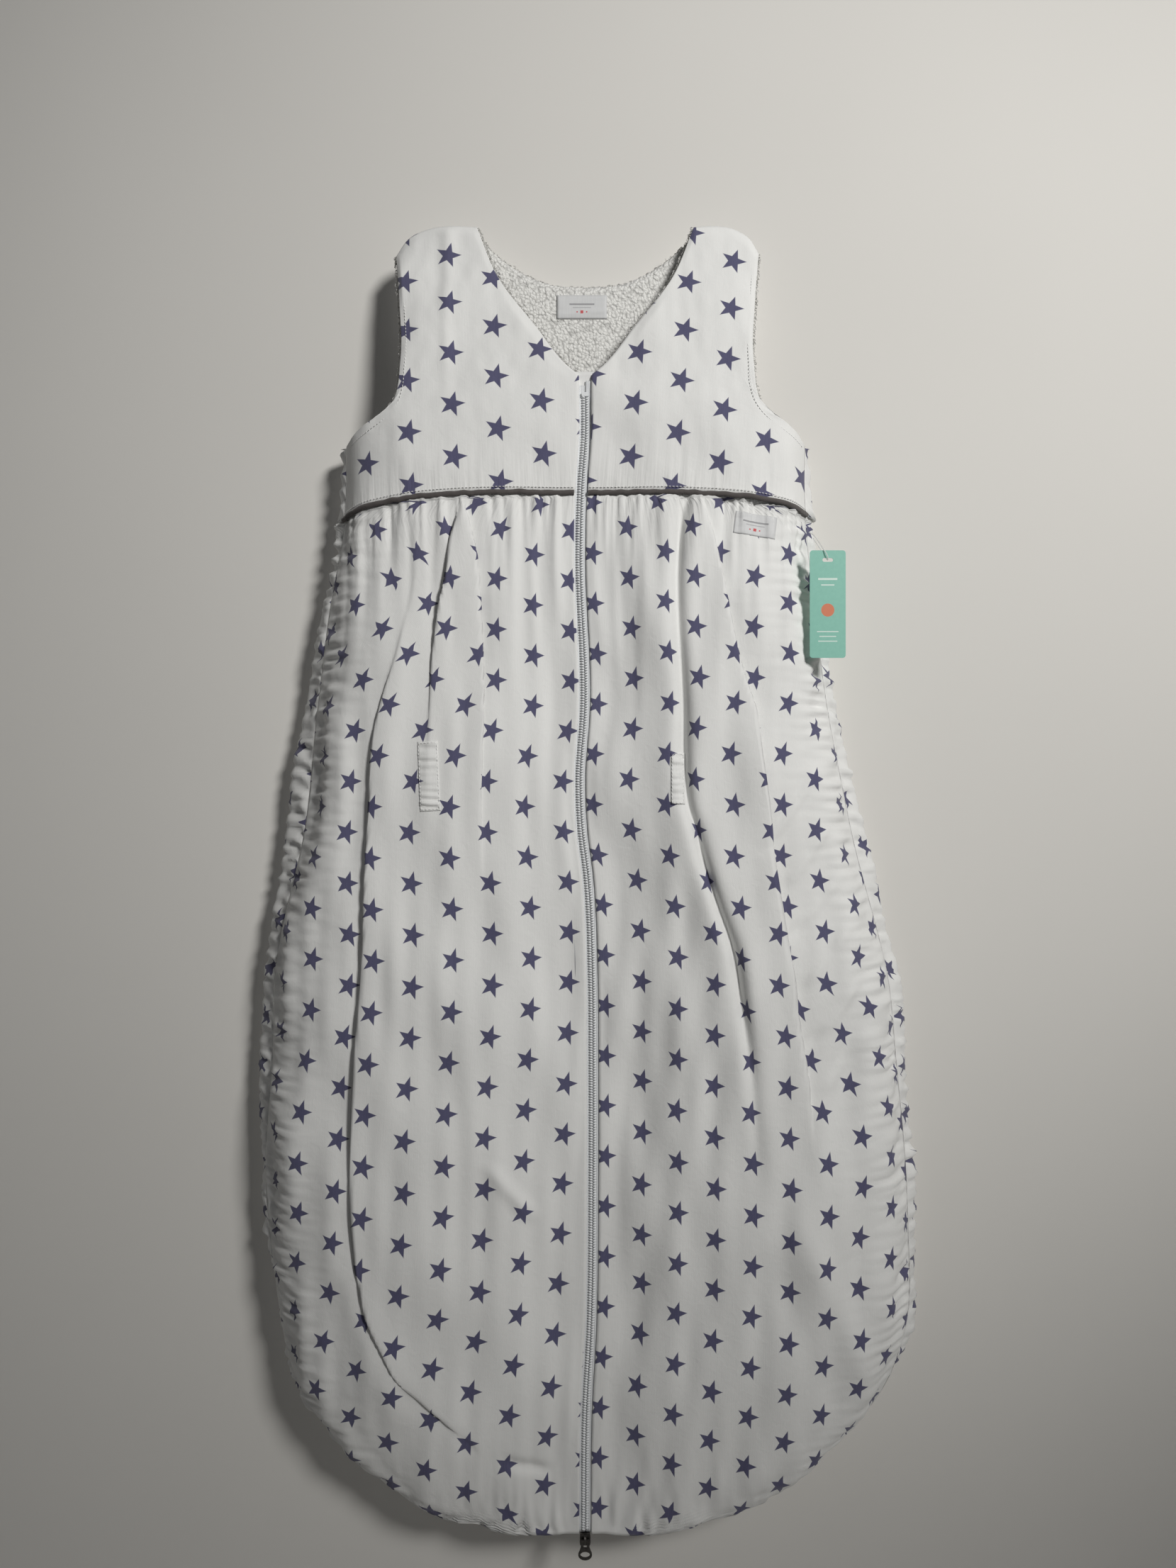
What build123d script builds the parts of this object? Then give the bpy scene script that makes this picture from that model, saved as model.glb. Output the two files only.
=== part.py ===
"""Baby sleeping bag, sleeveless, size 110: a padded bag that hangs from a coat hanger.

Frame: millimetres, +Z up. The origin is where the middle of the hanger sits, level with the tops
of the shoulders and midway between front and back. The front faces -Y, and left and right are
those of someone who looks at the front.

Every cloth piece is a loft through the same level sections, at its own depth below the outer
face, cut to its own outline. So the layers nest, with a little air between them.
"""

import math
import os

from build123d import *

os.makedirs("parts", exist_ok=True)

# ---- driving dimensions ------------------------------------------------------------------
HEM_Z = -1100.0  # bottom edge: the bag is size 110, from the middle of the shoulder seam
YOKE_SEAM_Z = -222.0  # yoke seam beside the zipper
YOKE_SEAM_END_Z = -237.0  # the same seam where it meets the side seam
ARMPIT = (205.0, -177.0)  # x, z of the lowest point of the armhole
SHOULDER_NECK = (93.5, 12.6)  # x, z of the inner end of the shoulder seam
SHOULDER_TIP = (157.0, -9.5)  # x, z of its outer end
SHOULDER_CROWN = [(113, 13.6), (131.5, 11.6), (147, 4.4)]  # the rounded seam between them
ARMHOLE = [(152, -57), (149.5, -108), (157, -148), (178, -164)]  # from the tip to the armpit
FRONT_NECK = [(14, -115), (42.5, -78), (75.5, -32)]  # from the bottom of the V to the shoulder
BACK_NECK = [(32, -28), (65, -13), (85, 3)]
FRONT_NECK_Z = -126.0  # bottom of the V at the front
BACK_NECK_Z = -31.0  # bottom of the round back neckline
ZIP_Y = -36.0  # outer face of the front beside the zipper, flat from neck to hem
SHELL_T = 0.8  # printed cotton
WADDING_T = 7.0  # polyester filling
LINING_T = 2.0  # terry cloth, pile included
LAYER_GAP = 0.5  # air between neighbouring layers
ZIP_SLOT = 5.2  # half the gap between the two front shells
ZIP_BED = 15.0  # half the gap between the two front fillings, where the tapes are sewn
FAR = 400.0  # further than any side of the bag from its middle

PIPING_R = 2.2  # corded piping in the yoke seam
TRIM_GAP = 0.4  # air under what is sewn on the outside
PIPING_GAP = 2.4  # the same under the piping, whose runs cut across the front's curve
SEAM_GAP = 0.3  # half the air between the front and back layers at the side seams
TAPE_Y = (-34.5, -33.9)  # zipper tape, behind the shells
TAPE_HALF = 14.5
CHAIN_Y = (-37.0, -35.0)  # coils, in front of the tapes
CHAIN_HALF = 3.0
CHAIN_TOP_Z = -141.0
CHAIN_END_Z = -1105.0
SLIDER_TOP_Z = -1098.0
SLIDER_LENGTH = 10.0
PULL_HINGE = (-40.1, -1102.6)  # y, z of the pin the pull turns on
PULL_T = 1.2
PULL_LENGTH = 16.5  # from the hinge to the tip
PULL_SLOT = 1.3  # half width of the slot that takes the bail
BAIL_HALF = 0.8
TAG_W, TAG_H, TAG_T = 30.0, 90.0, 0.6  # swing tag
TAG_TOP = (203.0, -43.0, -272.0)  # middle of the tag's top edge
TAG_LOOP_R = 0.5
TAG_SLOT = (9.0, 3.2)  # width and height of the slot that takes the loop
TAG_SLOT_DROP = 8.0  # from the tag's top edge to the middle of the slot
TAG_HINGE = (190.5, -28.3, -253.5)  # where the loop goes into the cloth
NECK_LABEL_Y, NECK_LABEL_T = 6.0, 0.5
NECK_LABEL_AT, NECK_LABEL_SIZE = (-3.0, -47.5), (44.0, 20.0)  # x and z of its middle, width, height
HEM_TAPE_W, HEM_TAPE_H = 136.0, 4.0

WADDING_IN = SHELL_T + LAYER_GAP
LINING_IN = WADDING_IN + WADDING_T + LAYER_GAP
INSIDE = LINING_IN + LINING_T
SHOULDER_Y = INSIDE + 3.5  # outer faces of front and back at the shoulder seam

# Level sections: height, half width, y of the front beside the zipper, y of the fullest part
# of each front panel, y of the side seam, y of the back.
SECTIONS = (
    (14.0, 172.0, -SHOULDER_Y, -SHOULDER_Y, 0.0, SHOULDER_Y),
    (-13.0, 180.0, -17.0, -17.0, 0.0, 15.5),
    (-52.0, 194.0, -24.0, -25.0, -2.0, 18.0),
    (-125.0, 205.0, ZIP_Y, -37.0, -4.0, 24.0),
    (-222.0, 208.0, ZIP_Y, -42.0, -7.0, 26.0),
    (-330.0, 224.0, ZIP_Y, -48.0, -9.0, 28.0),
    (-500.0, 254.0, ZIP_Y, -53.0, -10.0, 28.0),
    (-700.0, 282.0, ZIP_Y, -57.0, -10.0, 28.0),
    (-850.0, 284.0, ZIP_Y, -58.0, -10.0, 28.0),
    (-950.0, 271.0, ZIP_Y, -55.0, -10.0, 26.0),
    (-1010.0, 241.0, ZIP_Y, -51.0, -10.0, 21.0),
    (-1055.0, 198.0, ZIP_Y, -46.0, -12.0, 12.0),
    (-1083.0, 148.0, ZIP_Y, -41.0, -18.0, 0.0),
    (HEM_Z, 86.0, ZIP_Y, -38.0, -22.0, -8.0),
)
SEAM_SHARE = 0.965  # where the side seam runs, as a share of the half width


# ---- curves of one level section, at a given depth below the outer face -------------------------
def seam_point(section, depth, gap):
    """Where a layer ends at the side seam in a level section."""
    return ((section[1] - depth) * SEAM_SHARE, section[4] + gap)


def front_curve(section, depth, slot):
    """Points of the right front panel, from the zipper to the side seam."""
    _, half_width, zip_y, full_y, seam_y, _ = section
    half = half_width - depth
    return [
        (slot, zip_y + depth),
        (ZIP_BED + 3, zip_y + depth),
        (half * 0.28, (zip_y + 2 * full_y) / 3 + depth),
        (half * 0.52, full_y + depth),
        (half * 0.76, 0.9 * (full_y + depth) + 0.1 * seam_y),
        (half * 0.91, 0.5 * (full_y + depth) + 0.5 * seam_y),
        seam_point(section, depth, -SEAM_GAP),
    ]


def back_curve(section, depth):
    """Points of the back panel, from the right side seam to the left one."""
    _, half_width, _, _, seam_y, back_out = section
    half, back_y = half_width - depth, back_out - depth
    right = [
        seam_point(section, depth, SEAM_GAP),
        (half, 0.5 * seam_y + 0.5 * back_y),
        (half * 0.93, 0.25 * seam_y + 0.75 * back_y),
        (half * 0.72, 0.05 * seam_y + 0.95 * back_y),
        (half * 0.38, back_y),
    ]
    return right + [(0, back_y)] + [(-x, y) for x, y in reversed(right)]


def front_layer(outer, inner, slot):
    """The right front panel of one layer, from the shoulder to the hem."""
    with BuildPart() as layer:
        for section in SECTIONS:
            out_curve = front_curve(section, outer, slot)
            in_curve = front_curve(section, inner, slot)
            with BuildSketch(Plane.XY.offset(section[0])):
                with BuildLine():
                    Spline(*out_curve)
                    Line(out_curve[-1], in_curve[-1])
                    Spline(*reversed(in_curve))
                    Line(in_curve[0], out_curve[0])
                make_face()
        loft()
    return layer.part


def back_layer(outer, inner):
    """The back panel of one layer, from the shoulder to the hem."""
    with BuildPart() as layer:
        for section in SECTIONS:
            out_curve = back_curve(section, outer)
            in_curve = back_curve(section, inner)
            with BuildSketch(Plane.XY.offset(section[0])):
                with BuildLine():
                    Spline(*out_curve)
                    Line(out_curve[-1], in_curve[-1])
                    Spline(*reversed(in_curve))
                    Line(in_curve[0], out_curve[0])
                make_face()
        loft()
    return layer.part


# ---- cutting outlines, each a prism through the whole depth ---------------------------------
def seam_z(x):
    """Height of the yoke seam: level beside the zipper, dipping towards the sides."""
    return YOKE_SEAM_Z + (YOKE_SEAM_END_Z - YOKE_SEAM_Z) * (abs(x) / ARMPIT[0]) ** 3


# What lies above the yoke seam.
with BuildPart() as above_yoke_seam:
    with BuildSketch(Plane.XZ):
        with BuildLine():
            seam = [(x, seam_z(x)) for x in (-230, -165, -110, 0, 110, 165, 230)]
            Spline(*seam)
            left_end, right_end = seam[0], seam[-1]
            Polyline(right_end, (FAR, right_end[1]), (FAR, FAR), (-FAR, FAR), (-FAR, left_end[1]), left_end)
        make_face()
    extrude(amount=FAR, both=True)


def outside_armholes_and_neck(neck_bottom_z, neck_right_half):
    """What the yoke leaves free: above the shoulders, beyond the armholes, inside the neckline."""
    with BuildPart() as free:
        with BuildSketch(Plane.XZ):
            with BuildLine():
                Spline((0, neck_bottom_z), *neck_right_half, SHOULDER_NECK)
                Spline(SHOULDER_NECK, *SHOULDER_CROWN, SHOULDER_TIP)
                Spline(SHOULDER_TIP, *ARMHOLE, ARMPIT)
                Polyline(ARMPIT, (FAR, ARMPIT[1]), (FAR, FAR), (0, FAR), (0, neck_bottom_z))
            make_face()
            mirror(about=Plane.YZ)
        extrude(amount=FAR, both=True)
    return free.part


front_free = outside_armholes_and_neck(FRONT_NECK_Z, FRONT_NECK)
back_free = outside_armholes_and_neck(BACK_NECK_Z, BACK_NECK)


# ---- cloth layers ---------------------------------------------------------------------------
def cut_piece(name, layer, free, level):
    """Cut one piece to its outline, then label it and write it."""
    with BuildPart() as piece:
        add(layer)
        if level == "yoke":
            add(above_yoke_seam.part, mode=Mode.INTERSECT)
        if level == "skirt":
            add(above_yoke_seam.part, mode=Mode.SUBTRACT)
        else:
            add(free, mode=Mode.SUBTRACT)
    write(name, piece.part)
    return piece.part


def mirrored(name, right):
    """The left twin of a right-hand piece."""
    with BuildPart() as piece:
        mirror(right, about=Plane.YZ)
    write(name, piece.part)


def write(name, part):
    """Label a finished piece and write its file."""
    part.label = name
    export_step(part, f"parts/{name}.step")


for cloth, outer, inner, slot in (
    ("shell", 0.0, SHELL_T, ZIP_SLOT),
    ("wadding", WADDING_IN, WADDING_IN + WADDING_T, ZIP_BED),
):
    front, back = front_layer(outer, inner, slot), back_layer(outer, inner)
    for level in ("yoke", "skirt"):
        right = cut_piece(f"{level}_front_right_{cloth}", front, front_free, level)
        mirrored(f"{level}_front_left_{cloth}", right)
        cut_piece(f"{level}_back_{cloth}", back, back_free, level)
right = cut_piece("front_right_lining", front_layer(LINING_IN, INSIDE, ZIP_BED), front_free, "whole")
mirrored("front_left_lining", right)
cut_piece("back_lining", back_layer(LINING_IN, INSIDE), back_free, "whole")


# ---- trim sewn on the outside -----------------------------------------------------------------
def section_at(z):
    """The level section at a height between two of the given ones."""
    above = max(i for i, section in enumerate(SECTIONS[:-1]) if section[0] >= z)
    upper, lower = SECTIONS[above], SECTIONS[above + 1]
    share = (upper[0] - z) / (upper[0] - lower[0])
    return tuple(a + share * (b - a) for a, b in zip(upper, lower))


def rounded_path(points):
    """Straight runs joined by arcs, each as large as its two runs allow."""
    corners = [Vector(*point) for point in points]
    radii = []
    for before, corner, after in zip(corners, corners[1:], corners[2:]):
        run = min((corner - before).length, (after - corner).length)
        turn = (corner - before).get_angle(after - corner)
        radii.append(0.45 * run / math.tan(math.radians(turn / 2)))
    return FilletPolyline(*points, radius=radii)


# Piping: a cord in a bias strip, caught in the yoke seam and standing proud of it.
piping_start = front_curve(section_at(YOKE_SEAM_Z), -PIPING_R - PIPING_GAP, ZIP_SLOT + 1)
piping_points = []
for x, _ in piping_start[:-1]:
    level = seam_z(x)
    curve = front_curve(section_at(level), -PIPING_R - PIPING_GAP, ZIP_SLOT + 1)
    y = next(point[1] for point, start in zip(curve, piping_start) if start[0] == x)
    piping_points.append((x, y, level))
with BuildPart() as piping_front_right:
    with BuildLine() as route:
        rounded_path(piping_points)
    with BuildSketch(Plane(origin=route.line @ 0, z_dir=route.line % 0)):
        Circle(PIPING_R)
    sweep()
write("piping_front_right", piping_front_right.part)
mirrored("piping_front_left", piping_front_right.part)


def sewn_on(name, cover, middle, size, turn):
    """A flat piece that lies on the front: cut out of a thin cover by its turned outline."""
    with BuildPart() as piece:
        add(cover)
        with BuildSketch(Plane.XZ):
            with Locations(Location((*middle, 0), (0, 0, turn))):
                RectangleRounded(*size, radius=1.5)
        extrude(amount=FAR, mode=Mode.INTERSECT)
    write(name, piece.part)


cover_right = front_layer(-TRIM_GAP - SHELL_T, -TRIM_GAP, ZIP_SLOT)
with BuildPart() as cover_left:
    mirror(cover_right, about=Plane.YZ)
sewn_on("side_label", cover_right, (143.0, -250.0), (36.0, 19.0), -8.0)
sewn_on("harness_patch_right", cover_right, (77.0, -463.0), (12.0, 43.0), 0.0)
sewn_on("harness_patch_left", cover_left.part, (-129.3, -461.0), (17.0, 58.0), 3.0)

# Neck label, sewn to the inside of the back below the neckline.
with BuildPart() as neck_label:
    with BuildSketch(Plane.XZ.offset(-NECK_LABEL_Y)):
        with Locations(NECK_LABEL_AT):
            RectangleRounded(*NECK_LABEL_SIZE, radius=1)
    extrude(amount=NECK_LABEL_T)
write("neck_label", neck_label.part)

# Hem tape: a flat tape inside the hem, which closes the bottom where front and back meet.
_, _, hem_zip_y, _, _, hem_back_y = SECTIONS[-1]
hem_tape_y = (hem_zip_y + INSIDE + 2 * LAYER_GAP, hem_back_y - INSIDE - 2 * LAYER_GAP)
with BuildPart() as hem_tape:
    with BuildSketch(Plane.XY.offset(HEM_Z)):
        with Locations((0, sum(hem_tape_y) / 2)):
            RectangleRounded(HEM_TAPE_W, hem_tape_y[1] - hem_tape_y[0], radius=1.5)
    extrude(amount=HEM_TAPE_H)
write("hem_tape", hem_tape.part)

# ---- zipper -----------------------------------------------------------------------------------
# Tapes: they narrow at the hem, where they end inside the slider.
with BuildPart() as zipper_tape_right:
    with BuildSketch(Plane.XZ.offset(-TAPE_Y[1])):
        with BuildLine():
            Polyline(
                (0.4, -129),
                (TAPE_HALF, -122),
                (TAPE_HALF, HEM_Z + 4),
                (5, HEM_Z + 2),
                (5, CHAIN_END_Z - 2.5),
                (1.8, CHAIN_END_Z - 2.5),
                (1.8, CHAIN_END_Z),
                (0.4, CHAIN_END_Z),
                close=True,
            )
        make_face()
    extrude(amount=TAPE_Y[1] - TAPE_Y[0])
write("zipper_tape_right", zipper_tape_right.part)
mirrored("zipper_tape_left", zipper_tape_right.part)

# Coils: one turned bar a side, the teeth of which mesh on the middle line.
with BuildPart() as zipper_coil_right:
    with BuildSketch(Plane.XY.offset(CHAIN_END_Z)):
        with Locations(((CHAIN_HALF + 0.15) / 2, sum(CHAIN_Y) / 2)):
            RectangleRounded(CHAIN_HALF - 0.15, CHAIN_Y[1] - CHAIN_Y[0], radius=0.7)
    extrude(amount=CHAIN_TOP_Z - CHAIN_END_Z)
write("zipper_coil_right", zipper_coil_right.part)
mirrored("zipper_coil_left", zipper_coil_right.part)

# The stop that joins both sides at the neck, and one stop a side at the hem.
with BuildPart() as zipper_neck_stop:
    with BuildSketch(Plane.XZ.offset(-CHAIN_Y[1])):
        with Locations((0, CHAIN_TOP_Z + 2)):
            RectangleRounded(2 * CHAIN_HALF, 3.4, radius=0.8)
    extrude(amount=CHAIN_Y[1] - CHAIN_Y[0])
write("zipper_neck_stop", zipper_neck_stop.part)

with BuildPart() as zipper_hem_stops:
    with BuildSketch(Plane.XZ.offset(-CHAIN_Y[1])):
        with Locations((-2.4, CHAIN_END_Z - 1.2), (2.4, CHAIN_END_Z - 1.2)):
            RectangleRounded(1.1, 1.8, radius=0.3)
    extrude(amount=CHAIN_Y[1] - CHAIN_Y[0])
write("zipper_hem_stops", zipper_hem_stops.part)

# Guard: a strip of the printed cloth behind the chain, which keeps it off the child.
with BuildPart() as zip_guard:
    with BuildSketch(Plane.XZ.offset(30.2)):
        with BuildLine():
            Polyline(
                (-TAPE_HALF, HEM_Z + 4),
                (TAPE_HALF, HEM_Z + 4),
                (TAPE_HALF, FRONT_NECK_Z - 4),
                (0, FRONT_NECK_Z - 10),
                (-TAPE_HALF, FRONT_NECK_Z - 4),
                close=True,
            )
        make_face()
    extrude(amount=1.4)
write("zip_guard", zip_guard.part)

# Slider: two plates, side flanges that leave room for the tapes, a post between the coils at the
# end where they part, and a bail in front for the pull.
slider_end_z = SLIDER_TOP_Z - SLIDER_LENGTH
front_plate = (-38.4, -37.3)
back_plate = (-33.6, -32.6)
FLARE_HALF, MOUTH_HALF, TAIL_HALF = 4.6, 3.9, 4.2  # half widths along a slider plate


def slider_plate(front_y, back_y):
    """One plate of the slider, waisted at the mouth and rounded at its corners."""
    with BuildPart() as solid:
        with BuildSketch(Plane.XZ.offset(-back_y)) as plate:
            with BuildLine():
                Polyline(
                    (-MOUTH_HALF, SLIDER_TOP_Z),
                    (MOUTH_HALF, SLIDER_TOP_Z),
                    (FLARE_HALF, slider_end_z + 3),
                    (TAIL_HALF, slider_end_z),
                    (-TAIL_HALF, slider_end_z),
                    (-FLARE_HALF, slider_end_z + 3),
                    close=True,
                )
            make_face()
            fillet(plate.vertices(), 0.8)
        extrude(amount=back_y - front_y)
    return solid.part


with BuildPart() as zipper_slider:
    add(slider_plate(*front_plate))
    add(slider_plate(*back_plate))
    with BuildSketch(Plane.XZ.offset(-front_plate[1])):
        with Locations((-3.75, SLIDER_TOP_Z - 5), (3.75, SLIDER_TOP_Z - 5)):
            Rectangle(0.8, SLIDER_LENGTH - 2)
    extrude(amount=-(TAPE_Y[0] - 0.3 - front_plate[1]))
    with BuildSketch(Plane.XZ.offset(-front_plate[1])):
        with Locations((0, slider_end_z + 1.4)):
            RectangleRounded(2.8, 2.4, radius=0.6)
    extrude(amount=-(back_plate[0] - front_plate[1]))
    with BuildSketch(Plane.YZ.offset(-BAIL_HALF)):
        with BuildLine():
            Polyline(
                (front_plate[0], SLIDER_TOP_Z - 1),
                (front_plate[0] - 2.4, SLIDER_TOP_Z - 1.6),
                (front_plate[0] - 3.4, SLIDER_TOP_Z - 2.8),
                (front_plate[0] - 3.4, slider_end_z + 3.0),
                (front_plate[0] - 2.4, slider_end_z + 1.8),
                (front_plate[0], slider_end_z + 1.2),
                (front_plate[0], slider_end_z + 2.2),
                (front_plate[0] - 1.9, slider_end_z + 3.0),
                (front_plate[0] - 2.5, slider_end_z + 3.8),
                (front_plate[0] - 2.5, SLIDER_TOP_Z - 3.4),
                (front_plate[0] - 1.9, SLIDER_TOP_Z - 2.6),
                (front_plate[0], SLIDER_TOP_Z - 2.0),
                close=True,
            )
        make_face()
    extrude(amount=2 * BAIL_HALF)
write("zipper_slider", zipper_slider.part)

# Pull: a flat stamping with a pin that turns under the bail, and an oval ring at the tip.
hinge_y, hinge_z = PULL_HINGE
with BuildPart() as zipper_pull:
    with BuildSketch(Plane.XZ.offset(-hinge_y - PULL_T / 2)):
        with BuildLine():
            Polyline(
                (-3.7, hinge_z + 0.6),
                (3.7, hinge_z + 0.6),
                (3.7, hinge_z - 6),
                (5.2, hinge_z - 10),
                (5.2, hinge_z - 12),
                (-5.2, hinge_z - 12),
                (-5.2, hinge_z - 10),
                (-3.7, hinge_z - 6),
                close=True,
            )
        make_face()
        with Locations((0, hinge_z - PULL_LENGTH + 4.6)):
            Ellipse(5.8, 4.6)
        with Locations((0, hinge_z - PULL_LENGTH + 4.6)):
            Ellipse(4.0, 2.5, mode=Mode.SUBTRACT)
        with Locations((0, hinge_z - 3.4)):
            RectangleRounded(2 * PULL_SLOT, 5.6, radius=0.5, mode=Mode.SUBTRACT)
    extrude(amount=PULL_T)
write("zipper_pull", zipper_pull.part)

# ---- swing tag ----------------------------------------------------------------------------------
tag_x, tag_y, tag_z = TAG_TOP
slot_z = tag_z - TAG_SLOT_DROP
with BuildPart() as tag_card:
    with BuildSketch(Plane.XZ.offset(-tag_y)):
        with Locations((tag_x, tag_z - TAG_H / 2)):
            RectangleRounded(TAG_W, TAG_H, radius=2.5)
        with Locations((tag_x, slot_z)):
            SlotOverall(*TAG_SLOT, mode=Mode.SUBTRACT)
    extrude(amount=TAG_T)
write("tag_card", tag_card.part)

with BuildPart() as tag_loop:
    with BuildLine() as route:
        rounded_path(
            [
                TAG_HINGE,
                (193.5, tag_y + 6.0, -258.5),
                (199.0, tag_y - 1.5, -270.5),
                (202.0, tag_y - 2.9, -276.5),
                (tag_x, tag_y - 2.0, slot_z + 0.4),
                (tag_x, tag_y + 1.4, slot_z + 0.1),
                (202.0, tag_y + 2.7, -277.0),
                (198.5, tag_y + 5.5, -270.0),
                (193.0, tag_y + 9.5, -260.0),
            ]
        )
    with BuildSketch(Plane(origin=route.line @ 0, z_dir=route.line % 0)):
        Circle(TAG_LOOP_R)
    sweep()
write("tag_loop", tag_loop.part)
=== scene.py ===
import math
import bpy
import bmesh
import numpy as np
from mathutils import Matrix, Vector, kdtree


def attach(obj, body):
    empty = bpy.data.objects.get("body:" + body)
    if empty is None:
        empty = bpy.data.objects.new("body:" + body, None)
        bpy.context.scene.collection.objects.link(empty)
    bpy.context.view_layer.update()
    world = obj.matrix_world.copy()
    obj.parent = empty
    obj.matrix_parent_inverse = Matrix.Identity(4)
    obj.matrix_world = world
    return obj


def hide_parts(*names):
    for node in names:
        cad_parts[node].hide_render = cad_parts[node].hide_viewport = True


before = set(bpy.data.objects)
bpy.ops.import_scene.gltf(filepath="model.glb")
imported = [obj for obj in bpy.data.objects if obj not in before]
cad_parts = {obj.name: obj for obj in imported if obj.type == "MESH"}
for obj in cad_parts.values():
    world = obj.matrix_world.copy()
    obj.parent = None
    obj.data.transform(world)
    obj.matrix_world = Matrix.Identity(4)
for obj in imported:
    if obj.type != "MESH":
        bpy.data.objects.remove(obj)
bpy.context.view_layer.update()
MM = 0.001

# ---------------------------------------------------------------- the studio
# The bag hangs in front of a pale upright board that runs into a pale floor,
# lit by one large soft light from the upper right and a weaker one from the left.
CAMERA_AT = (2.4 * MM, -0.991, -0.4675)
CAMERA_LENS = 26.0
BOARD_Y, FLOOR_Z = 0.036, -1.30


def soft_light(name, kind, at, aim, size, power, colour, cone=60):
    data = bpy.data.lights.new(name, kind)
    data.energy, data.color = power, colour
    if kind == "AREA":
        data.shape, data.size = "SQUARE", size
    else:
        data.shadow_soft_size, data.spot_size, data.spot_blend = size, math.radians(cone), 1.0
    lamp = bpy.data.objects.new(name, data)
    lamp.location = at
    lamp.rotation_euler = (Vector(aim) - Vector(at)).to_track_quat("-Z", "Y").to_euler()
    bpy.context.collection.objects.link(lamp)


camera_data = bpy.data.cameras.new("camera")
camera_data.lens, camera_data.sensor_width, camera_data.clip_start = CAMERA_LENS, 36.0, 0.02
camera = bpy.data.objects.new("camera", camera_data)
camera.location, camera.rotation_euler = CAMERA_AT, (math.radians(90), 0, 0)
bpy.context.collection.objects.link(camera)
bpy.context.scene.camera = camera
bpy.context.scene.view_settings.view_transform = "Standard"

soft_light("window_light", "SPOT", (1.15, -2.0, 0.62), (0.20, 0, -0.12), 0.26, 206, (1.0, 0.99, 0.965), 57)
soft_light("room_light", "AREA", (-1.3, -1.9, 0.3), (0, 0, -0.2), 1.6, 0.8, (0.95, 0.97, 1.0))
soft_light("back_light", "AREA", (0.4, 2.2, 0.6), (0, 0, -0.5), 1.4, 16, (1.0, 1.0, 1.0))
world = bpy.data.worlds.new("pale_room")
world.use_nodes = True
world.node_tree.nodes["Background"].inputs["Color"].default_value = (0.86, 0.875, 0.9, 1)
world.node_tree.nodes["Background"].inputs["Strength"].default_value = 0.066
bpy.context.scene.world = world


def wire(tree, value, socket):
    """Joins a socket to another, or sets a plain number on it."""
    if isinstance(value, bpy.types.NodeSocket):
        tree.links.new(value, socket)
    else:
        socket.default_value = value


def add_node(tree, kind, settings=None, **inputs):
    made = tree.nodes.new(kind)
    for key, value in (settings or {}).items():
        setattr(made, key, value)
    for key, value in inputs.items():
        wire(tree, value, made.inputs[key.replace("_", " ")])
    return made


def sum_of(tree, operation, *values):
    made = tree.nodes.new("ShaderNodeMath")
    made.operation = operation
    for socket, value in zip(made.inputs, values):
        wire(tree, value, socket)
    return made.outputs[0]


def new_material(name, roughness=0.8, metallic=0.0):
    material = bpy.data.materials.new(name)
    material.use_nodes = True
    shader = material.node_tree.nodes["Principled BSDF"]
    shader.inputs["Roughness"].default_value = roughness
    shader.inputs["Metallic"].default_value = metallic
    return material, material.node_tree, shader


def mix_colours(tree, share, first, second):
    made = tree.nodes.new("ShaderNodeMix")
    made.data_type = "RGBA"
    for value, socket in zip((share, first, second), (made.inputs[0], made.inputs[6], made.inputs[7])):
        wire(tree, value, socket)
    return made.outputs[2]


def painted_board(name, low, high):
    material, tree, shader = new_material(name, 0.9)
    place = add_node(tree, "ShaderNodeTexCoord").outputs["Object"]
    cloud = add_node(tree, "ShaderNodeTexNoise", Vector=place, Scale=3.0, Detail=3.0)
    wire(tree, mix_colours(tree, cloud.outputs["Fac"], low, high), shader.inputs["Base Color"])
    return material, tree, shader


wall_paint, wall_tree, wall_shader = painted_board("wall_paint", (0.66, 0.645, 0.615, 1), (0.70, 0.685, 0.655, 1))
see_through = add_node(wall_tree, "ShaderNodeBsdfTransparent")
facing = sum_of(wall_tree, "MAXIMUM", add_node(wall_tree, "ShaderNodeNewGeometry").outputs["Backfacing"],
                add_node(wall_tree, "ShaderNodeLightPath").outputs["Is Shadow Ray"])
from_back = add_node(wall_tree, "ShaderNodeMixShader")
for value, socket in zip((facing, wall_shader.outputs[0], see_through.outputs[0]), from_back.inputs):
    wall_tree.links.new(value, socket)
wall_tree.links.new(from_back.outputs[0], wall_tree.nodes["Material Output"].inputs["Surface"])
floor_paint = painted_board("floor_paint", (0.60, 0.59, 0.57, 1), (0.64, 0.63, 0.61, 1))[0]


def finished_piece(name, bm, materials, smooth=True):
    """The bmesh as a new object at the origin, with its materials."""
    mesh = bpy.data.meshes.new(name)
    bm.to_mesh(mesh)
    bm.free()
    for material in materials:
        mesh.materials.append(material)
    if smooth:
        mesh.shade_smooth()
    piece = bpy.data.objects.new(name, mesh)
    bpy.context.collection.objects.link(piece)
    return piece


for name, paint, turn, at, size in (
    ("wall", wall_paint, Matrix.Rotation(math.radians(90), 4, "X"), (0, BOARD_Y, FLOOR_Z + 2.5), 2.5),
    ("floor", floor_paint, Matrix.Identity(4), (0, 0, FLOOR_Z), 4.0),
):
    bm = bmesh.new()
    bmesh.ops.create_grid(bm, x_segments=1, y_segments=1, size=size, matrix=Matrix.Translation(at) @ turn)
    finished_piece(name, bm, [paint], smooth=False)

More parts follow.
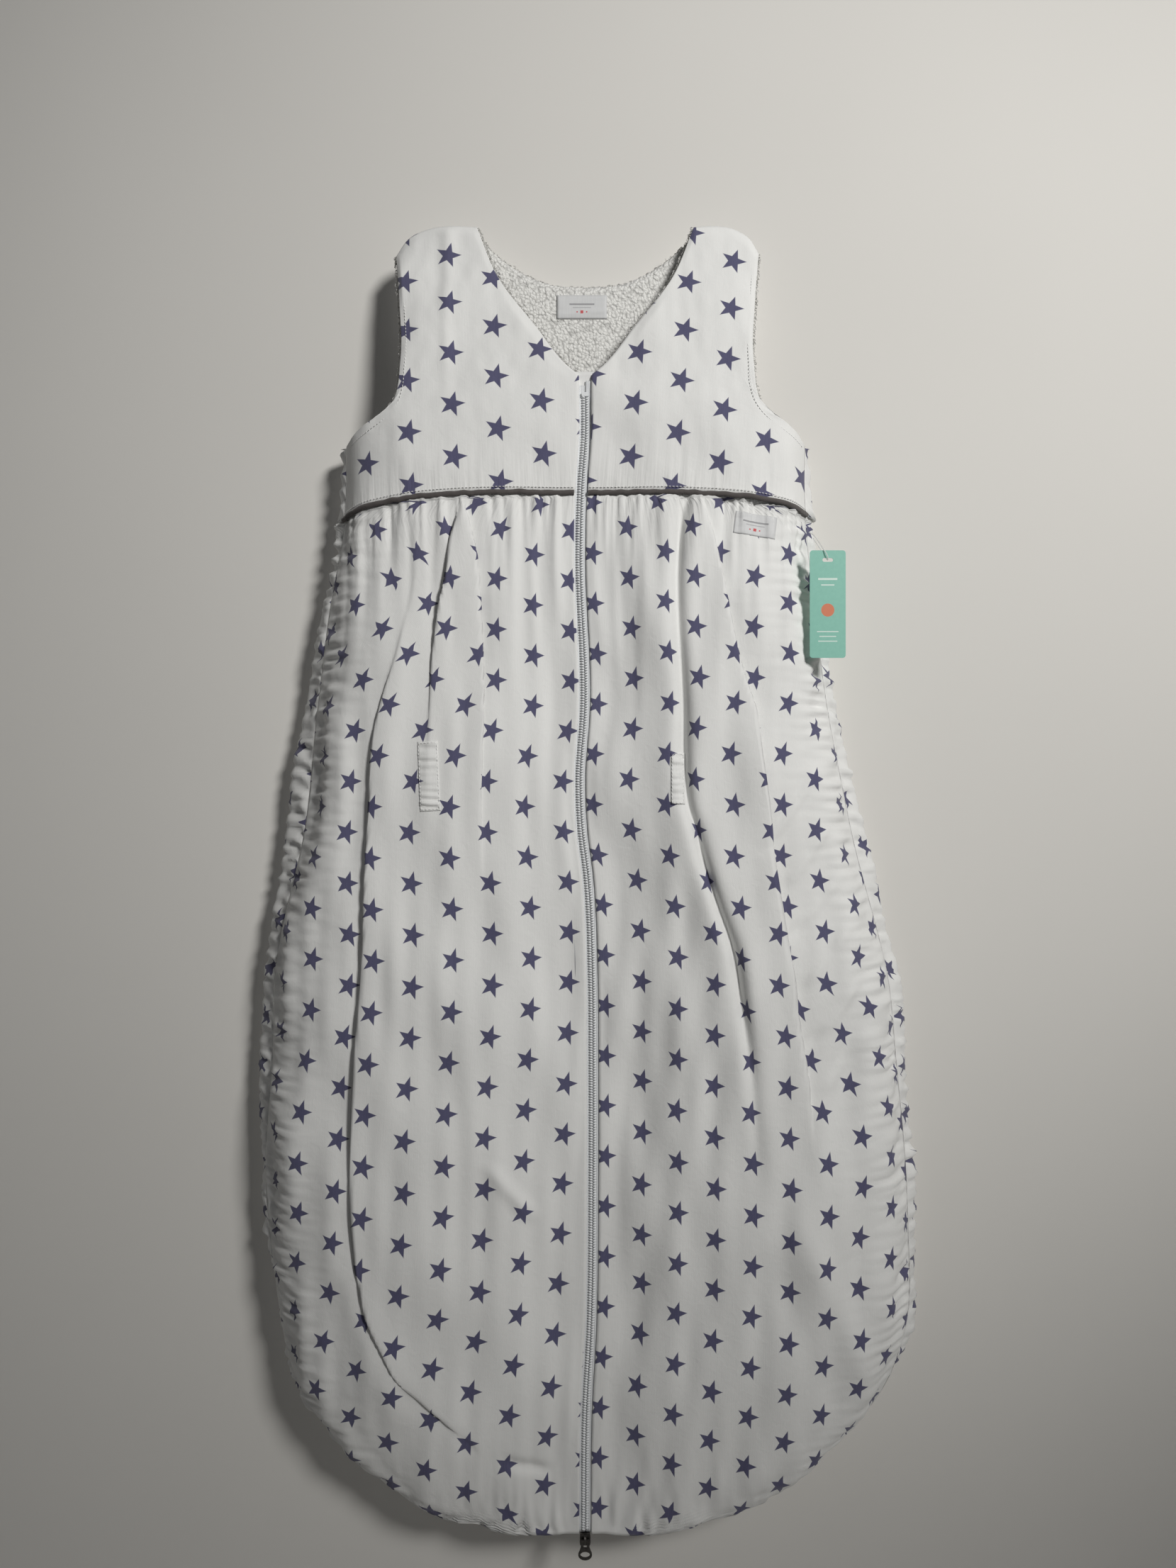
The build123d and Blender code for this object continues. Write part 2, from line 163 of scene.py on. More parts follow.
# ------------------------------------------------------- the skirt's two fronts
# Printed cotton quilted over thin wadding, cut wide and gathered into the yoke
# seam with a pleat each side, then closed by the zipper and the side seams.
# The body's outline at each height: z, half width, and how far forward the zipper,
# the fullest part and the side seam lie, and how far back the back panel lies (mm).
BODY = np.array([
    (14, 172, -14.3, -14.3, 0, 14.3), (-13, 180, -17, -17, 0, 15.5),
    (-52, 194, -24, -25, -2, 18), (-125, 205, -36, -37, -4, 24),
    (-222, 208, -36, -42, -7, 26), (-330, 224, -36, -48, -9, 28),
    (-500, 254, -36, -53, -10, 28), (-700, 282, -36, -57, -10, 28),
    (-850, 284, -36, -58, -10, 28), (-950, 271, -36, -55, -10, 26),
    (-1010, 241, -36, -51, -10, 21), (-1055, 198, -36, -46, -12, 12),
    (-1083, 148, -36, -41, -18, 0), (-1100, 86, -36, -38, -22, -8),
], float) * MM
# How much wider than that each side hangs, and how far inside the side the seam runs (mm).
LEFT_SPARE = [(14, 0), (-50, 5), (-120, 8), (-176, 9), (-233, 8), (-291, 12), (-396, 13), (-502, 8), (-607, 8),
              (-712, 2), (-817, -1), (-922, -6), (-1000, 2), (-1060, 0), (-1100, 0)]
RIGHT_SPARE = [(14, 0), (-50, -5), (-120, -8), (-176, -8), (-233, -9), (-291, -10), (-396, -12.5), (-502, -9),
               (-607, -1), (-712, -2), (-817, 2), (-922, 11), (-985, 13), (-1050, 5), (-1085, 0), (-1100, 0)]
LEFT_INSET = [(14, 6.5), (-180, 7.5), (-240, 8), (-300, 11), (-400, 17), (-494, 20), (-642, 13), (-700, 14),
              (-756, 11), (-813, 8), (-861, 7), (-1000, 8), (-1060, 6.5), (-1100, 3)]
RIGHT_INSET = [(14, 6.5), (-180, 7.5), (-260, 9), (-350, 12), (-445, 15), (-590, 15), (-640, 12), (-700, 11),
               (-800, 9), (-950, 9), (-1000, 8), (-1060, 6.5), (-1100, 3)]
# The zipper's line wanders a little from side to side (mm).
ZIP_LINE = [(0, 0), (-138, 0), (-172, 0), (-215, -3), (-270, -4.5), (-404, -0.6), (-466, -4.5), (-503, -3),
            (-548, 2.4), (-630, 6), (-700, 6.5), (-797, 6.5), (-928, 4.8), (-994, 1.2), (-1100, 0)]
ZIP_SLOT, ZIP_BED = 5.2 * MM, 15 * MM
YOKE_SEAM_Z, YOKE_SEAM_END_Z, YOKE_HALF, HEM_Z = -222 * MM, -237 * MM, 205 * MM, -1100 * MM


def smooth_through(xs, ys, x):
    """A smooth curve through the points, read at x."""
    xs, ys, x = (np.asarray(v, float) for v in (xs, ys, x))
    if xs[0] > xs[-1]:
        xs, ys = xs[::-1], ys[::-1]
    slopes = np.gradient(ys, xs, axis=0)
    x = np.clip(x, xs[0], xs[-1])
    i = np.clip(np.searchsorted(xs, x) - 1, 0, len(xs) - 2)
    w = xs[i + 1] - xs[i]
    t = (x - xs[i]) / w
    if ys.ndim > 1:
        w, t = w[..., None], t[..., None]
    return ((1 + 2 * t) * (1 - t) ** 2 * ys[i] + t * (1 - t) ** 2 * w * slopes[i]
            + t * t * (3 - 2 * t) * ys[i + 1] + t * t * (t - 1) * w * slopes[i + 1])


def along(points, z):
    """A value listed against height in mm, read at z in metres, in metres."""
    table = np.array(points, float) * MM
    return smooth_through(table[:, 0], table[:, 1], z)


def body_at(z, side):
    half, zip_y, full_y, seam_y, back_y = np.moveaxis(smooth_through(BODY[:, 0], BODY[:, 1:], z), -1, 0)
    return half + along(LEFT_SPARE if side < 0 else RIGHT_SPARE, z), zip_y, full_y, seam_y, back_y


def inset_at(z, side):
    return along(LEFT_INSET if side < 0 else RIGHT_INSET, z)


def zip_x(z):
    return along(ZIP_LINE, z)


def yoke_seam_z(x):
    return YOKE_SEAM_Z + (YOKE_SEAM_END_Z - YOKE_SEAM_Z) * np.abs(x / YOKE_HALF) ** 3


def front_points(z, side, depth):
    """The front's cross-section at one height, as points out from the zipper."""
    half, zip_y, full_y, seam_y, _ = body_at(z, side)
    out = half - depth - inset_at(z, side)
    return np.array([
        (ZIP_SLOT, zip_y + depth), (ZIP_BED + 3 * MM, zip_y + depth),
        (0.29 * out, (zip_y + 2 * full_y) / 3 + depth), (0.54 * out, full_y + depth),
        (0.79 * out, 0.9 * (full_y + depth) + 0.1 * seam_y),
        (0.94 * out, 0.5 * (full_y + depth) + 0.5 * seam_y), (out, seam_y)])


def even_row(points, count, start=None):
    """Points at equal steps of length along the smooth curve through a row of points."""
    x = np.linspace(points[0, 0] if start is None else start, points[-1, 0], 400)
    y = smooth_through(points[:, 0], points[:, 1], x)
    length = np.concatenate([[0], np.cumsum(np.hypot(np.diff(x), np.diff(y)))])
    steps = np.linspace(0, length[-1], count)
    return np.interp(steps, length, x), np.interp(steps, length, y)


def ripples(u, v, across, down, seed, waves=28):
    """A smooth uneven surface of about 1 high, with ripples of the given lengths."""
    order = np.random.default_rng(seed)
    total = np.zeros(np.broadcast(u, v).shape)
    for _ in range(waves):
        way, size, start = order.uniform(0, math.pi), order.uniform(0.6, 1.7), order.uniform(0, 2 * math.pi)
        total += np.cos(2 * math.pi * size * (u / across * math.cos(way) + v / down * math.sin(way)) + start)
    return total / math.sqrt(waves / 2)


def strength_at(points, z):
    table = np.array(points, float)
    return np.interp(z, table[::-1, 0] * MM, table[::-1, 1])


def overlap(x, z, path, strength, over, up, down, reach=26 * MM, core=3.4 * MM, inner_on_top=True):
    """A fold where one side lies over the other: how far each point slides and lifts."""
    way = 1 if inner_on_top else -1
    share = strength_at(strength, z)
    crease = along(path, z) - way * np.maximum(over * share - core, 0)
    s = (x - crease) * way
    q = s / core
    slide = -share * over * q * np.exp(0.5 - q * q / 2)
    side = np.tanh(-1.4 * q)
    lift = share * np.where(side > 0, up, down) * side * np.exp(-np.abs(s) / reach)
    return slide * way, lift


def valley(x, z, path, strength, deep, width, shoulder=0.5):
    """A crease that both sides dive into, with a soft shoulder each side."""
    share = strength_at(strength, z)
    s = x - along(path, z)
    lift = share * deep * (-np.exp(-(s / width) ** 2) + shoulder * np.exp(-(s / (4 * width)) ** 2))
    slide = -share * 0.5 * width * (s / width) * np.exp(-(s / (1.6 * width)) ** 2)
    return slide, lift


def ridge(x, z, start, end, high, width):
    """A soft fold that runs from one place to another, both (x, z) in mm."""
    ax, az, bx, bz = (v * MM for v in (*start, *end))
    length = math.hypot(bx - ax, bz - az)
    dx, dz = (bx - ax) / length, (bz - az) / length
    s = (x - ax) * dx + (z - az) * dz
    off = -(x - ax) * dz + (z - az) * dx
    ends = np.clip(s / (0.25 * length), 0, 1) * np.clip((length - s) / (0.25 * length), 0, 1)
    return high * ends * np.exp(-(off / width) ** 2)


LEFT_PLEAT_RIGHT_EDGE = [(-222, 104), (-234, 99.4), (-256.7, 93), (-277, 88.1), (-294, 86.3), (-314, 85.2),
                         (-335, 84.6), (-464, 84.6), (-600, 86), (-1100, 86)]
LEFT_PLEAT_LEFT_EDGE = [(-222, 106), (-234, 106), (-270, 113), (-294, 116), (-314, 120.3), (-345, 125),
                        (-367, 127.4), (-461, 131), (-600, 136), (-1100, 136)]
LEFT_MAIN_FOLD = [(-222, 135), (-289, 141.7), (-328, 149.5), (-365, 159), (-391, 167.3), (-430, 176.3),
                  (-494, 179.8), (-642, 186.4), (-700, 191.2), (-737, 192.9), (-842, 191.8), (-866, 189.4),
                  (-887, 185.2), (-902, 182), (-938, 166), (-966, 150.7), (-983, 133), (-1017, 95), (-1100, 60)]
RIGHT_PLEAT_LEFT_EDGE = [(-222, 86), (-237, 84), (-270, 80.3), (-404, 82.2), (-464, 85.2), (-487, 88.1),
                         (-507, 93.5), (-528, 97.7), (-568, 109), (-605, 121.5), (-660, 130.4), (-702, 135.8),
                         (-800, 143), (-1100, 150)]
RIGHT_PLEAT_RIGHT_EDGE = [(-222, 96), (-237, 101.4), (-382, 134.4), (-404, 141.7), (-445, 147.1), (-491, 153),
                          (-535, 157.8), (-589, 166.1), (-619, 171.5), (-660, 176.3), (-702, 182.8),
                          (-800, 190), (-1100, 200)]


def left_folds(x, z):
    """Every fold of the left front. x is the distance from the zipper."""
    slide, lift = np.zeros_like(x), np.zeros_like(x)
    for s, l in (
        overlap(x, z, LEFT_PLEAT_RIGHT_EDGE, [(-222, 0), (-250, 0.5), (-290, 0.9), (-330, 0.9), (-400, 0.5), (-480, 0.25), (-600, 0)],
                10 * MM, 5 * MM, 3.5 * MM, inner_on_top=False),
        overlap(x, z, LEFT_PLEAT_LEFT_EDGE, [(-222, 0), (-250, 0.5), (-300, 0.85), (-370, 0.4), (-440, 0.1), (-480, 0)],
                8 * MM, 4 * MM, 4 * MM),
        overlap(x, z, LEFT_MAIN_FOLD, [(-222, 0), (-289, 0.12), (-365, 0.3), (-420, 0.7), (-480, 1), (-700, 1),
                                       (-870, 1), (-940, 0.75), (-1000, 0.4), (-1030, 0)],
                5 * MM, 3.4 * MM, 3.6 * MM, reach=34 * MM),
    ):
        slide, lift = slide + s, lift + l
    lift += ridge(x, z, (88, -780), (45, -835), 3 * MM, 6 * MM)
    lift += ridge(x, z, (215, -830), (150, -1010), 5 * MM, 16 * MM)
    lift -= ridge(x, z, (72, -1032), (26, -1048), 3.5 * MM, 5 * MM)
    lift += ridge(x, z, (200, -420), (215, -640), 2.5 * MM, 9 * MM)
    return slide, lift


def right_folds(x, z):
    slide, lift = np.zeros_like(x), np.zeros_like(x)
    for s, l in (
        valley(x, z, RIGHT_PLEAT_LEFT_EDGE, [(-222, 0.7), (-300, 0.8), (-404, 0.9), (-500, 1), (-640, 1), (-720, 0.4),
                                             (-800, 0)], 11 * MM, 7 * MM),
        overlap(x, z, RIGHT_PLEAT_RIGHT_EDGE, [(-222, 0), (-260, 0.5), (-300, 0.7), (-404, 0.8), (-491, 1), (-619, 1),
                                               (-702, 0.6), (-780, 0)], 8 * MM, 5.5 * MM, 5 * MM),
    ):
        slide, lift = slide + s, lift + l
    lift += ridge(x, z, (172, -821), (250, -996), 4 * MM, 14 * MM)
    lift -= ridge(x, z, (150, -850), (215, -1010), 3 * MM, 14 * MM)
    for start, end, high, width in (
        ((196, -455), (150, -520), 3.0, 4.0), ((207, -500), (160, -560), 3.4, 5.0), ((215, -545), (176, -590), 2.6, 4.0),
        ((222, -585), (178, -640), 3.4, 5.0), ((230, -630), (190, -680), 2.8, 4.5), ((236, -670), (192, -730), 3.0, 6.0),
    ):
        lift += ridge(x, z, start, end, high * MM, width * MM)
        lift -= ridge(x, z, (start[0] - 8, start[1] - 8), (end[0] - 8, end[1] - 8), 0.7 * high * MM, width * MM)
    return slide, lift


def sheet_of(columns, rows, outer, cloth, inner_place=None):
    """A bmesh grid with its points put in place, and its place on the flat cloth as
    its UV map. With inner_place it gets a second face behind it, as a closed pad."""
    bm = bmesh.new()
    uv = bm.loops.layers.uv.new("cloth")
    row, column = bm.verts.layers.int.new("row"), bm.verts.layers.int.new("column")
    bmesh.ops.create_grid(bm, x_segments=columns - 1, y_segments=rows - 1, size=0.5)
    for vert in bm.verts:
        vert[column] = round((vert.co.x + 0.5) * (columns - 1))
        vert[row] = round((vert.co.y + 0.5) * (rows - 1))
    back = []
    if inner_place is not None:
        kept = list(bm.faces)
        made = bmesh.ops.extrude_face_region(bm, geom=kept, use_keep_orig=True)["geom"]
        back = [g for g in made if isinstance(g, bmesh.types.BMVert)]
    back = set(back)
    bm.verts.ensure_lookup_table()
    for vert in bm.verts:
        source = inner_place if vert in back else outer
        vert.co = source[vert[row], vert[column]]
    for face in bm.faces:
        for loop in face.loops:
            loop[uv].uv = cloth[loop.vert[row], loop.vert[column]]
    bmesh.ops.recalc_face_normals(bm, faces=bm.faces[:])
    return bm


PRINT_COLUMN, PRINT_PITCH = 37.5 * MM, 45 * MM
SKIRT_PRINT_SCALE = 37.5 / 35.3
PAD_DEPTH = 8.3 * MM


def length_along(places):
    steps = np.linalg.norm(np.diff(places, axis=1), axis=2)
    return np.concatenate([np.zeros((len(places), 1)), np.cumsum(steps, axis=1)], axis=1)


def turned(u, v, degrees):
    a = math.radians(degrees)
    return u * math.cos(a) - v * math.sin(a), u * math.sin(a) + v * math.cos(a)


def settled(places, grow_wide, grow_high, seed, steps=24, every=2, bend=1.2):
    """Cloth cut a little larger than its place buckles between its sewn edges. This
    tells how far each point then stands out, from a cloth simulation of every second one."""
    rows, columns = places.shape[:2]
    pick_row = np.unique(np.linspace(0, rows - 1, rows // every).round().astype(int))
    pick_column = np.unique(np.linspace(0, columns - 1, columns // every).round().astype(int))
    start = places[np.ix_(pick_row, pick_column)] * SIM_SCALE
    small = np.random.default_rng(seed).normal(0, 0.3 * MM * SIM_SCALE, start.shape[:2])
    start[..., 1] += small
    bm = sheet_of(len(pick_column), len(pick_row), start, start[..., (0, 2)])
    carrier = finished_piece("settling", bm, [])
    count = len(carrier.data.vertices)
    row, column = np.zeros(count, np.int32), np.zeros(count, np.int32)
    carrier.data.attributes["row"].data.foreach_get("value", row)
    carrier.data.attributes["column"].data.foreach_get("value", column)
    sewn = (row == 0) | (row == row.max()) | (column == 0) | (column == column.max())
    carrier.vertex_groups.new(name="sewn").add(np.flatnonzero(sewn).tolist(), 1.0, "REPLACE")
    carrier.shape_key_add(name="hung", from_mix=False)
    cut = carrier.shape_key_add(name="cut", from_mix=False)
    flat = np.zeros(count * 3, np.float32)
    cut.data.foreach_get("co", flat)
    cut.data.foreach_set("co", (flat.reshape(-1, 3) * (1 + grow_wide, 1 + grow_wide, 1 + grow_high)).ravel())
    cloth = carrier.modifiers.new("cloth", "CLOTH")
    cloth.settings.rest_shape_key = cut
    cloth.settings.vertex_group_mass = "sewn"
    cloth.settings.quality, cloth.settings.mass = 5, 0.3
    cloth.settings.bending_stiffness = bend
    cloth.settings.effector_weights.gravity = 0.0
    cloth.collision_settings.use_collision = False
    cloth.point_cache.frame_start, cloth.point_cache.frame_end = 1, steps
    scene = bpy.context.scene
    for step in range(1, steps + 1):
        scene.frame_set(step)
    after = carrier.evaluated_get(bpy.context.evaluated_depsgraph_get()).to_mesh()
    co = np.zeros(count * 3, np.float32)
    after.vertices.foreach_get("co", co)
    scene.frame_set(1)
    bpy.data.objects.remove(carrier)
    ended = np.zeros_like(start)
    ended[row, column] = co.reshape(-1, 3)
    out_x, out_y = outwards(start)
    moved = ((ended - start)[..., 0] * out_x + (ended - start)[..., 1] * out_y) / SIM_SCALE
    moved = smooth_through(pick_row.astype(float), moved, np.arange(rows))
    return smooth_through(pick_column.astype(float), moved.T, np.arange(columns)).T


def outwards(places):
    """The direction away from the body at each point, looking from above."""
    along_x, along_y = np.gradient(places[..., 0], axis=1), np.gradient(places[..., 1], axis=1)
    size = np.maximum(np.hypot(along_x, along_y), 1e-9)
    return along_y / size, -along_x / size


SIM_SCALE = 10.0


def skirt_front(side, columns, rows, depth=0.0, folded=True):
    """The places of a skirt front's points, and where each lies on the flat cloth."""
    places = np.zeros((rows, columns, 3))
    for r, share in enumerate(np.linspace(0, 1, rows)):
        z0 = HEM_Z + (YOKE_SEAM_Z - HEM_Z) * share
        x, y = even_row(front_points(z0, side, depth), columns)
        z = np.full_like(x, z0)
        # the top rows bend down at the side, as the yoke seam does
        drop = (yoke_seam_z(x) - YOKE_SEAM_Z) * np.clip((share - 0.7) / 0.3, 0, 1) ** 2
        z = z + drop
        places[r] = np.stack([x, y, z], -1)
    x, y, z = (places[..., k] for k in range(3))
    along_x = np.gradient(x, axis=1)
    along_y = np.gradient(y, axis=1)
    size = np.hypot(along_x, along_y)
    tx, ty = along_x / size, along_y / size
    if folded:
        slide, lift = (left_folds if side < 0 else right_folds)(x, z)
        from_seam = np.minimum((yoke_seam_z(x) - z), 1.0)
        gathers = np.exp(-from_seam / (24 * MM))
        lift = lift + gathers * 1.3 * MM * ripples(x, z, 7 * MM, 110 * MM, 11 + side)
        lift = lift + np.exp(-from_seam / (70 * MM)) * 1.1 * MM * ripples(x, z, 15 * MM, 170 * MM, 21 + side)
        lift = lift + 1.3 * MM * ripples(x, z, 80 * MM, 170 * MM, 31 + side)
        lift = lift + 0.65 * MM * ripples(x, z, 30 * MM, 150 * MM, 41 + side)
        near_side = np.exp(-np.abs(x - x[:, -1:]) / (17 * MM))
        lift = lift + near_side * 2.0 * MM * ripples(x, z, 50 * MM, 10 * MM, 51 + side)
        near_hem = np.exp(-(z - HEM_Z) / (26 * MM))
        lift = lift + near_hem * 1.6 * MM * ripples(x, z, 13 * MM, 60 * MM, 61 + side)
        buckles = settled(np.stack([x, y, z], -1), 0.075, 0.05, 71 + side)
        lift = lift + np.where(buckles < 0, 0.55, 0.9) * np.clip(buckles, -9 * MM, 9 * MM)
        # the edges are sewn down, so nothing lifts there
        held = np.clip((x - ZIP_SLOT) / (9 * MM), 0, 1) * np.clip(np.abs(x - x[:, -1:]) / (7 * MM), 0, 1)
        held = held * np.clip(from_seam / (5 * MM), 0.12, 1) * np.clip((z - HEM_Z) / (6 * MM), 0.1, 1)
        beside_zip = np.clip((x - ZIP_SLOT) / (22 * MM), 0, 1)
        lift = np.where(lift < 0, lift * beside_zip, lift)
        slide, lift = slide * held, lift * held
        x = x + slide * tx + lift * ty
        y = y + slide * ty - lift * tx
    centre = zip_x(z) * np.exp(-(x / (90 * MM)) ** 2)
    places = np.stack([side * x + centre, y, z], -1)
    return places


def skirt_print(places, side):
    """Where each point lies on the flat printed cloth, with the small gathers let out."""
    z = places[..., 2]
    if side < 0:
        spread = np.interp(z, [-0.95, -0.8, -0.5, -0.3], [1.045, 1.05, 1.08, 1.11])
        first, down, slant = 8.4, -253.6, 2.0
    else:
        spread = np.interp(z, [-0.9, -0.3], [1.13, 1.13])
        first, down, slant = 11.2, -273, 0.0
    u = (ZIP_SLOT + length_along(places) * spread) * SKIRT_PRINT_SCALE
    u = u - first * MM * SKIRT_PRINT_SCALE - math.tan(math.radians(slant)) * (-0.26 - z) * SKIRT_PRINT_SCALE
    v = (z - down * MM) * SKIRT_PRINT_SCALE
    return np.stack([side * u, v], -1)


# The cloth's own look: plain weave, slubs along the warp, and the star print.
def new_group(name, ins, outs):
    group = bpy.data.node_groups.new(name, "ShaderNodeTree")
    for label, kind, value in ins:
        socket = group.interface.new_socket(label, in_out="INPUT", socket_type=kind)
        if value is not None:
            socket.default_value = value
    for label, kind in outs:
        group.interface.new_socket(label, in_out="OUTPUT", socket_type=kind)
    return group, group.nodes.new("NodeGroupInput"), group.nodes.new("NodeGroupOutput")


def use_group(tree, group, **inputs):
    made = tree.nodes.new("ShaderNodeGroup")
    made.node_tree = group
    for key, value in inputs.items():
        wire(tree, value, made.inputs[key.replace("_", " ")])
    return made


STAR_TIP, STAR_WAIST, STAR_TURN = 11.5 * MM, 0.41, 2.0
star_print, star_in, star_out = new_group(
    "star_print", [("Cloth", "NodeSocketVector", None), ("Column", "NodeSocketFloat", PRINT_COLUMN),
                   ("Pitch", "NodeSocketFloat", PRINT_PITCH), ("Tip", "NodeSocketFloat", STAR_TIP)],
    [("Star", "NodeSocketFloat")])
t = star_print
on_cloth = add_node(t, "ShaderNodeSeparateXYZ", Vector=star_in.outputs["Cloth"])
across = sum_of(t, "ADD", sum_of(t, "DIVIDE", on_cloth.outputs["X"], star_in.outputs["Column"]), 0.5)
column = sum_of(t, "FLOOR", across)
odd = sum_of(t, "MULTIPLY", sum_of(t, "FRACT", sum_of(t, "MULTIPLY", column, 0.5)), 2.0)
a = sum_of(t, "MULTIPLY", sum_of(t, "SUBTRACT", sum_of(t, "FRACT", across), 0.5), star_in.outputs["Column"])
upward = sum_of(t, "ADD", sum_of(t, "DIVIDE", on_cloth.outputs["Y"], star_in.outputs["Pitch"]),
                sum_of(t, "MULTIPLY_ADD", odd, 0.5, 0.5))
b = sum_of(t, "MULTIPLY", sum_of(t, "SUBTRACT", sum_of(t, "FRACT", upward), 0.5), star_in.outputs["Pitch"])
turn = sum_of(t, "SUBTRACT", sum_of(t, "ARCTAN2", b, a), math.radians(STAR_TURN))
away = sum_of(t, "SQRT", sum_of(t, "ADD", sum_of(t, "MULTIPLY", a, a), sum_of(t, "MULTIPLY", b, b)))
fifth = 2 * math.pi / 5
part = sum_of(t, "FRACT", sum_of(t, "ADD", sum_of(t, "DIVIDE", turn, fifth), 0.5))
half_turn = sum_of(t, "MULTIPLY", sum_of(t, "ABSOLUTE", sum_of(t, "SUBTRACT", part, 0.5)), fifth)
px = sum_of(t, "MULTIPLY", away, sum_of(t, "COSINE", half_turn))
py = sum_of(t, "MULTIPLY", away, sum_of(t, "SINE", half_turn))
waist_x, waist_y = STAR_WAIST * math.cos(math.pi / 5), STAR_WAIST * math.sin(math.pi / 5)
slope = math.hypot(waist_y, 1 - waist_x)
outside = sum_of(t, "ADD", sum_of(t, "MULTIPLY", sum_of(t, "SUBTRACT", px, star_in.outputs["Tip"]), waist_y / slope),
                 sum_of(t, "MULTIPLY", py, (1 - waist_x) / slope))
mask = add_node(t, "ShaderNodeMapRange", Value=outside)
for key, value in (("From Min", 0.25 * MM), ("From Max", -0.25 * MM)):
    mask.inputs[key].default_value = value
t.links.new(mask.outputs["Result"], star_out.inputs["Star"])

weave, weave_in, weave_out = new_group(
    "plain_weave", [("Cloth", "NodeSocketVector", None), ("Yarn", "NodeSocketFloat", 0.55 * MM)],
    [("Height", "NodeSocketFloat"), ("Slub", "NodeSocketFloat")])
t = weave
on_cloth = add_node(t, "ShaderNodeSeparateXYZ", Vector=weave_in.outputs["Cloth"])
threads = []
for axis in ("X", "Y"):
    turns = sum_of(t, "MULTIPLY", sum_of(t, "DIVIDE", on_cloth.outputs[axis], weave_in.outputs["Yarn"]), math.pi)
    threads.append(sum_of(t, "SINE", turns))
height = sum_of(t, "MULTIPLY", threads[0], threads[1])
t.links.new(height, weave_out.inputs["Height"])
stretch = add_node(t, "ShaderNodeVectorMath", {"operation": "MULTIPLY"})
t.links.new(weave_in.outputs["Cloth"], stretch.inputs[0])
stretch.inputs[1].default_value = (900, 45, 1)
slub = add_node(t, "ShaderNodeTexNoise", Vector=stretch.outputs[0], Scale=1.0, Detail=3.0, Roughness=0.6)
t.links.new(slub.outputs["Fac"], weave_out.inputs["Slub"])

WHITE_COTTON, OFF_WHITE, STAR_INK, STAR_INK_WORN = (
    (0.80, 0.80, 0.785, 1), (0.745, 0.745, 0.735, 1), (0.068, 0.066, 0.135, 1), (0.105, 0.103, 0.185, 1))


def printed_cotton(name, gather_depth=0.5 * MM):
    material, tree, shader = new_material(name, 0.86)
    shader.inputs["Sheen Weight"].default_value = 0.18
    shader.inputs["Sheen Roughness"].default_value = 0.5
    cloth = add_node(tree, "ShaderNodeUVMap", {"uv_map": "cloth"}).outputs["UV"]
    star = use_group(tree, star_print, Cloth=cloth).outputs["Star"]
    yarn = use_group(tree, weave, Cloth=cloth)
    place = add_node(tree, "ShaderNodeTexCoord").outputs["Object"]
    cloud = add_node(tree, "ShaderNodeTexNoise", Vector=place, Scale=9.0, Detail=4.0).outputs["Fac"]
    tone = sum_of(tree, "ADD", sum_of(tree, "MULTIPLY", cloud, 0.6), sum_of(tree, "MULTIPLY", yarn.outputs["Slub"], 0.5))
    ground = mix_colours(tree, tone, OFF_WHITE, WHITE_COTTON)
    ink = mix_colours(tree, yarn.outputs["Slub"], STAR_INK, STAR_INK_WORN)
    wire(tree, mix_colours(tree, star, ground, ink), shader.inputs["Base Color"])
    pull = add_node(tree, "ShaderNodeAttribute", {"attribute_name": "gather"}).outputs["Fac"]
    stretch = add_node(tree, "ShaderNodeVectorMath", {"operation": "MULTIPLY"})
    tree.links.new(cloth, stretch.inputs[0])
    stretch.inputs[1].default_value = (260, 14, 1)
    small = add_node(tree, "ShaderNodeTexNoise", Vector=stretch.outputs[0], Scale=1.0, Detail=2.0).outputs["Fac"]
    crinkle = add_node(tree, "ShaderNodeTexNoise", Vector=place, Scale=120.0, Detail=4.0, Distortion=0.6).outputs["Fac"]
    height = sum_of(tree, "ADD", sum_of(tree, "MULTIPLY", sum_of(tree, "MULTIPLY", small, pull), 2.2 * MM),
                    sum_of(tree, "ADD", sum_of(tree, "MULTIPLY", yarn.outputs["Height"], 0.03 * MM),
                           sum_of(tree, "ADD", sum_of(tree, "MULTIPLY", yarn.outputs["Slub"], 0.12 * MM),
                                  sum_of(tree, "MULTIPLY", crinkle, 0.35 * MM))))
    bump = add_node(tree, "ShaderNodeBump", Height=height, Distance=1.0, Strength=0.9)
    tree.links.new(bump.outputs["Normal"], shader.inputs["Normal"])
    return material


star_cotton = printed_cotton("star_cotton")


def set_gather(piece, value_at):
    """Marks how much each point is gathered, from 0 to 1."""
    mesh = piece.data
    co = np.zeros(len(mesh.vertices) * 3, np.float32)
    mesh.vertices.foreach_get("co", co)
    layer = mesh.attributes.new("gather", "FLOAT", "POINT")
    layer.data.foreach_set("value", value_at(co.reshape(-1, 3)).astype(np.float32))


def seam_gather(co):
    off = np.abs(co[:, 2] - yoke_seam_z(co[:, 0]))
    return np.exp(-off / (18 * MM))


SKIRT_COLUMNS, SKIRT_ROWS = 116, 340
skirt_fronts = {}
for side, word in ((-1, "left"), (1, "right")):
    outer = skirt_fronts[word] = skirt_front(side, SKIRT_COLUMNS, SKIRT_ROWS)
    inner = skirt_front(side, SKIRT_COLUMNS, SKIRT_ROWS, PAD_DEPTH, folded=False)
    bm = sheet_of(SKIRT_COLUMNS, SKIRT_ROWS, outer, skirt_print(outer, side), inner)
    piece = finished_piece(f"skirt_front_{word}", bm, [star_cotton])
    set_gather(piece, seam_gather)
    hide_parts(f"skirt_front_{word}_shell", f"skirt_front_{word}_wadding")
    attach(piece, "root")

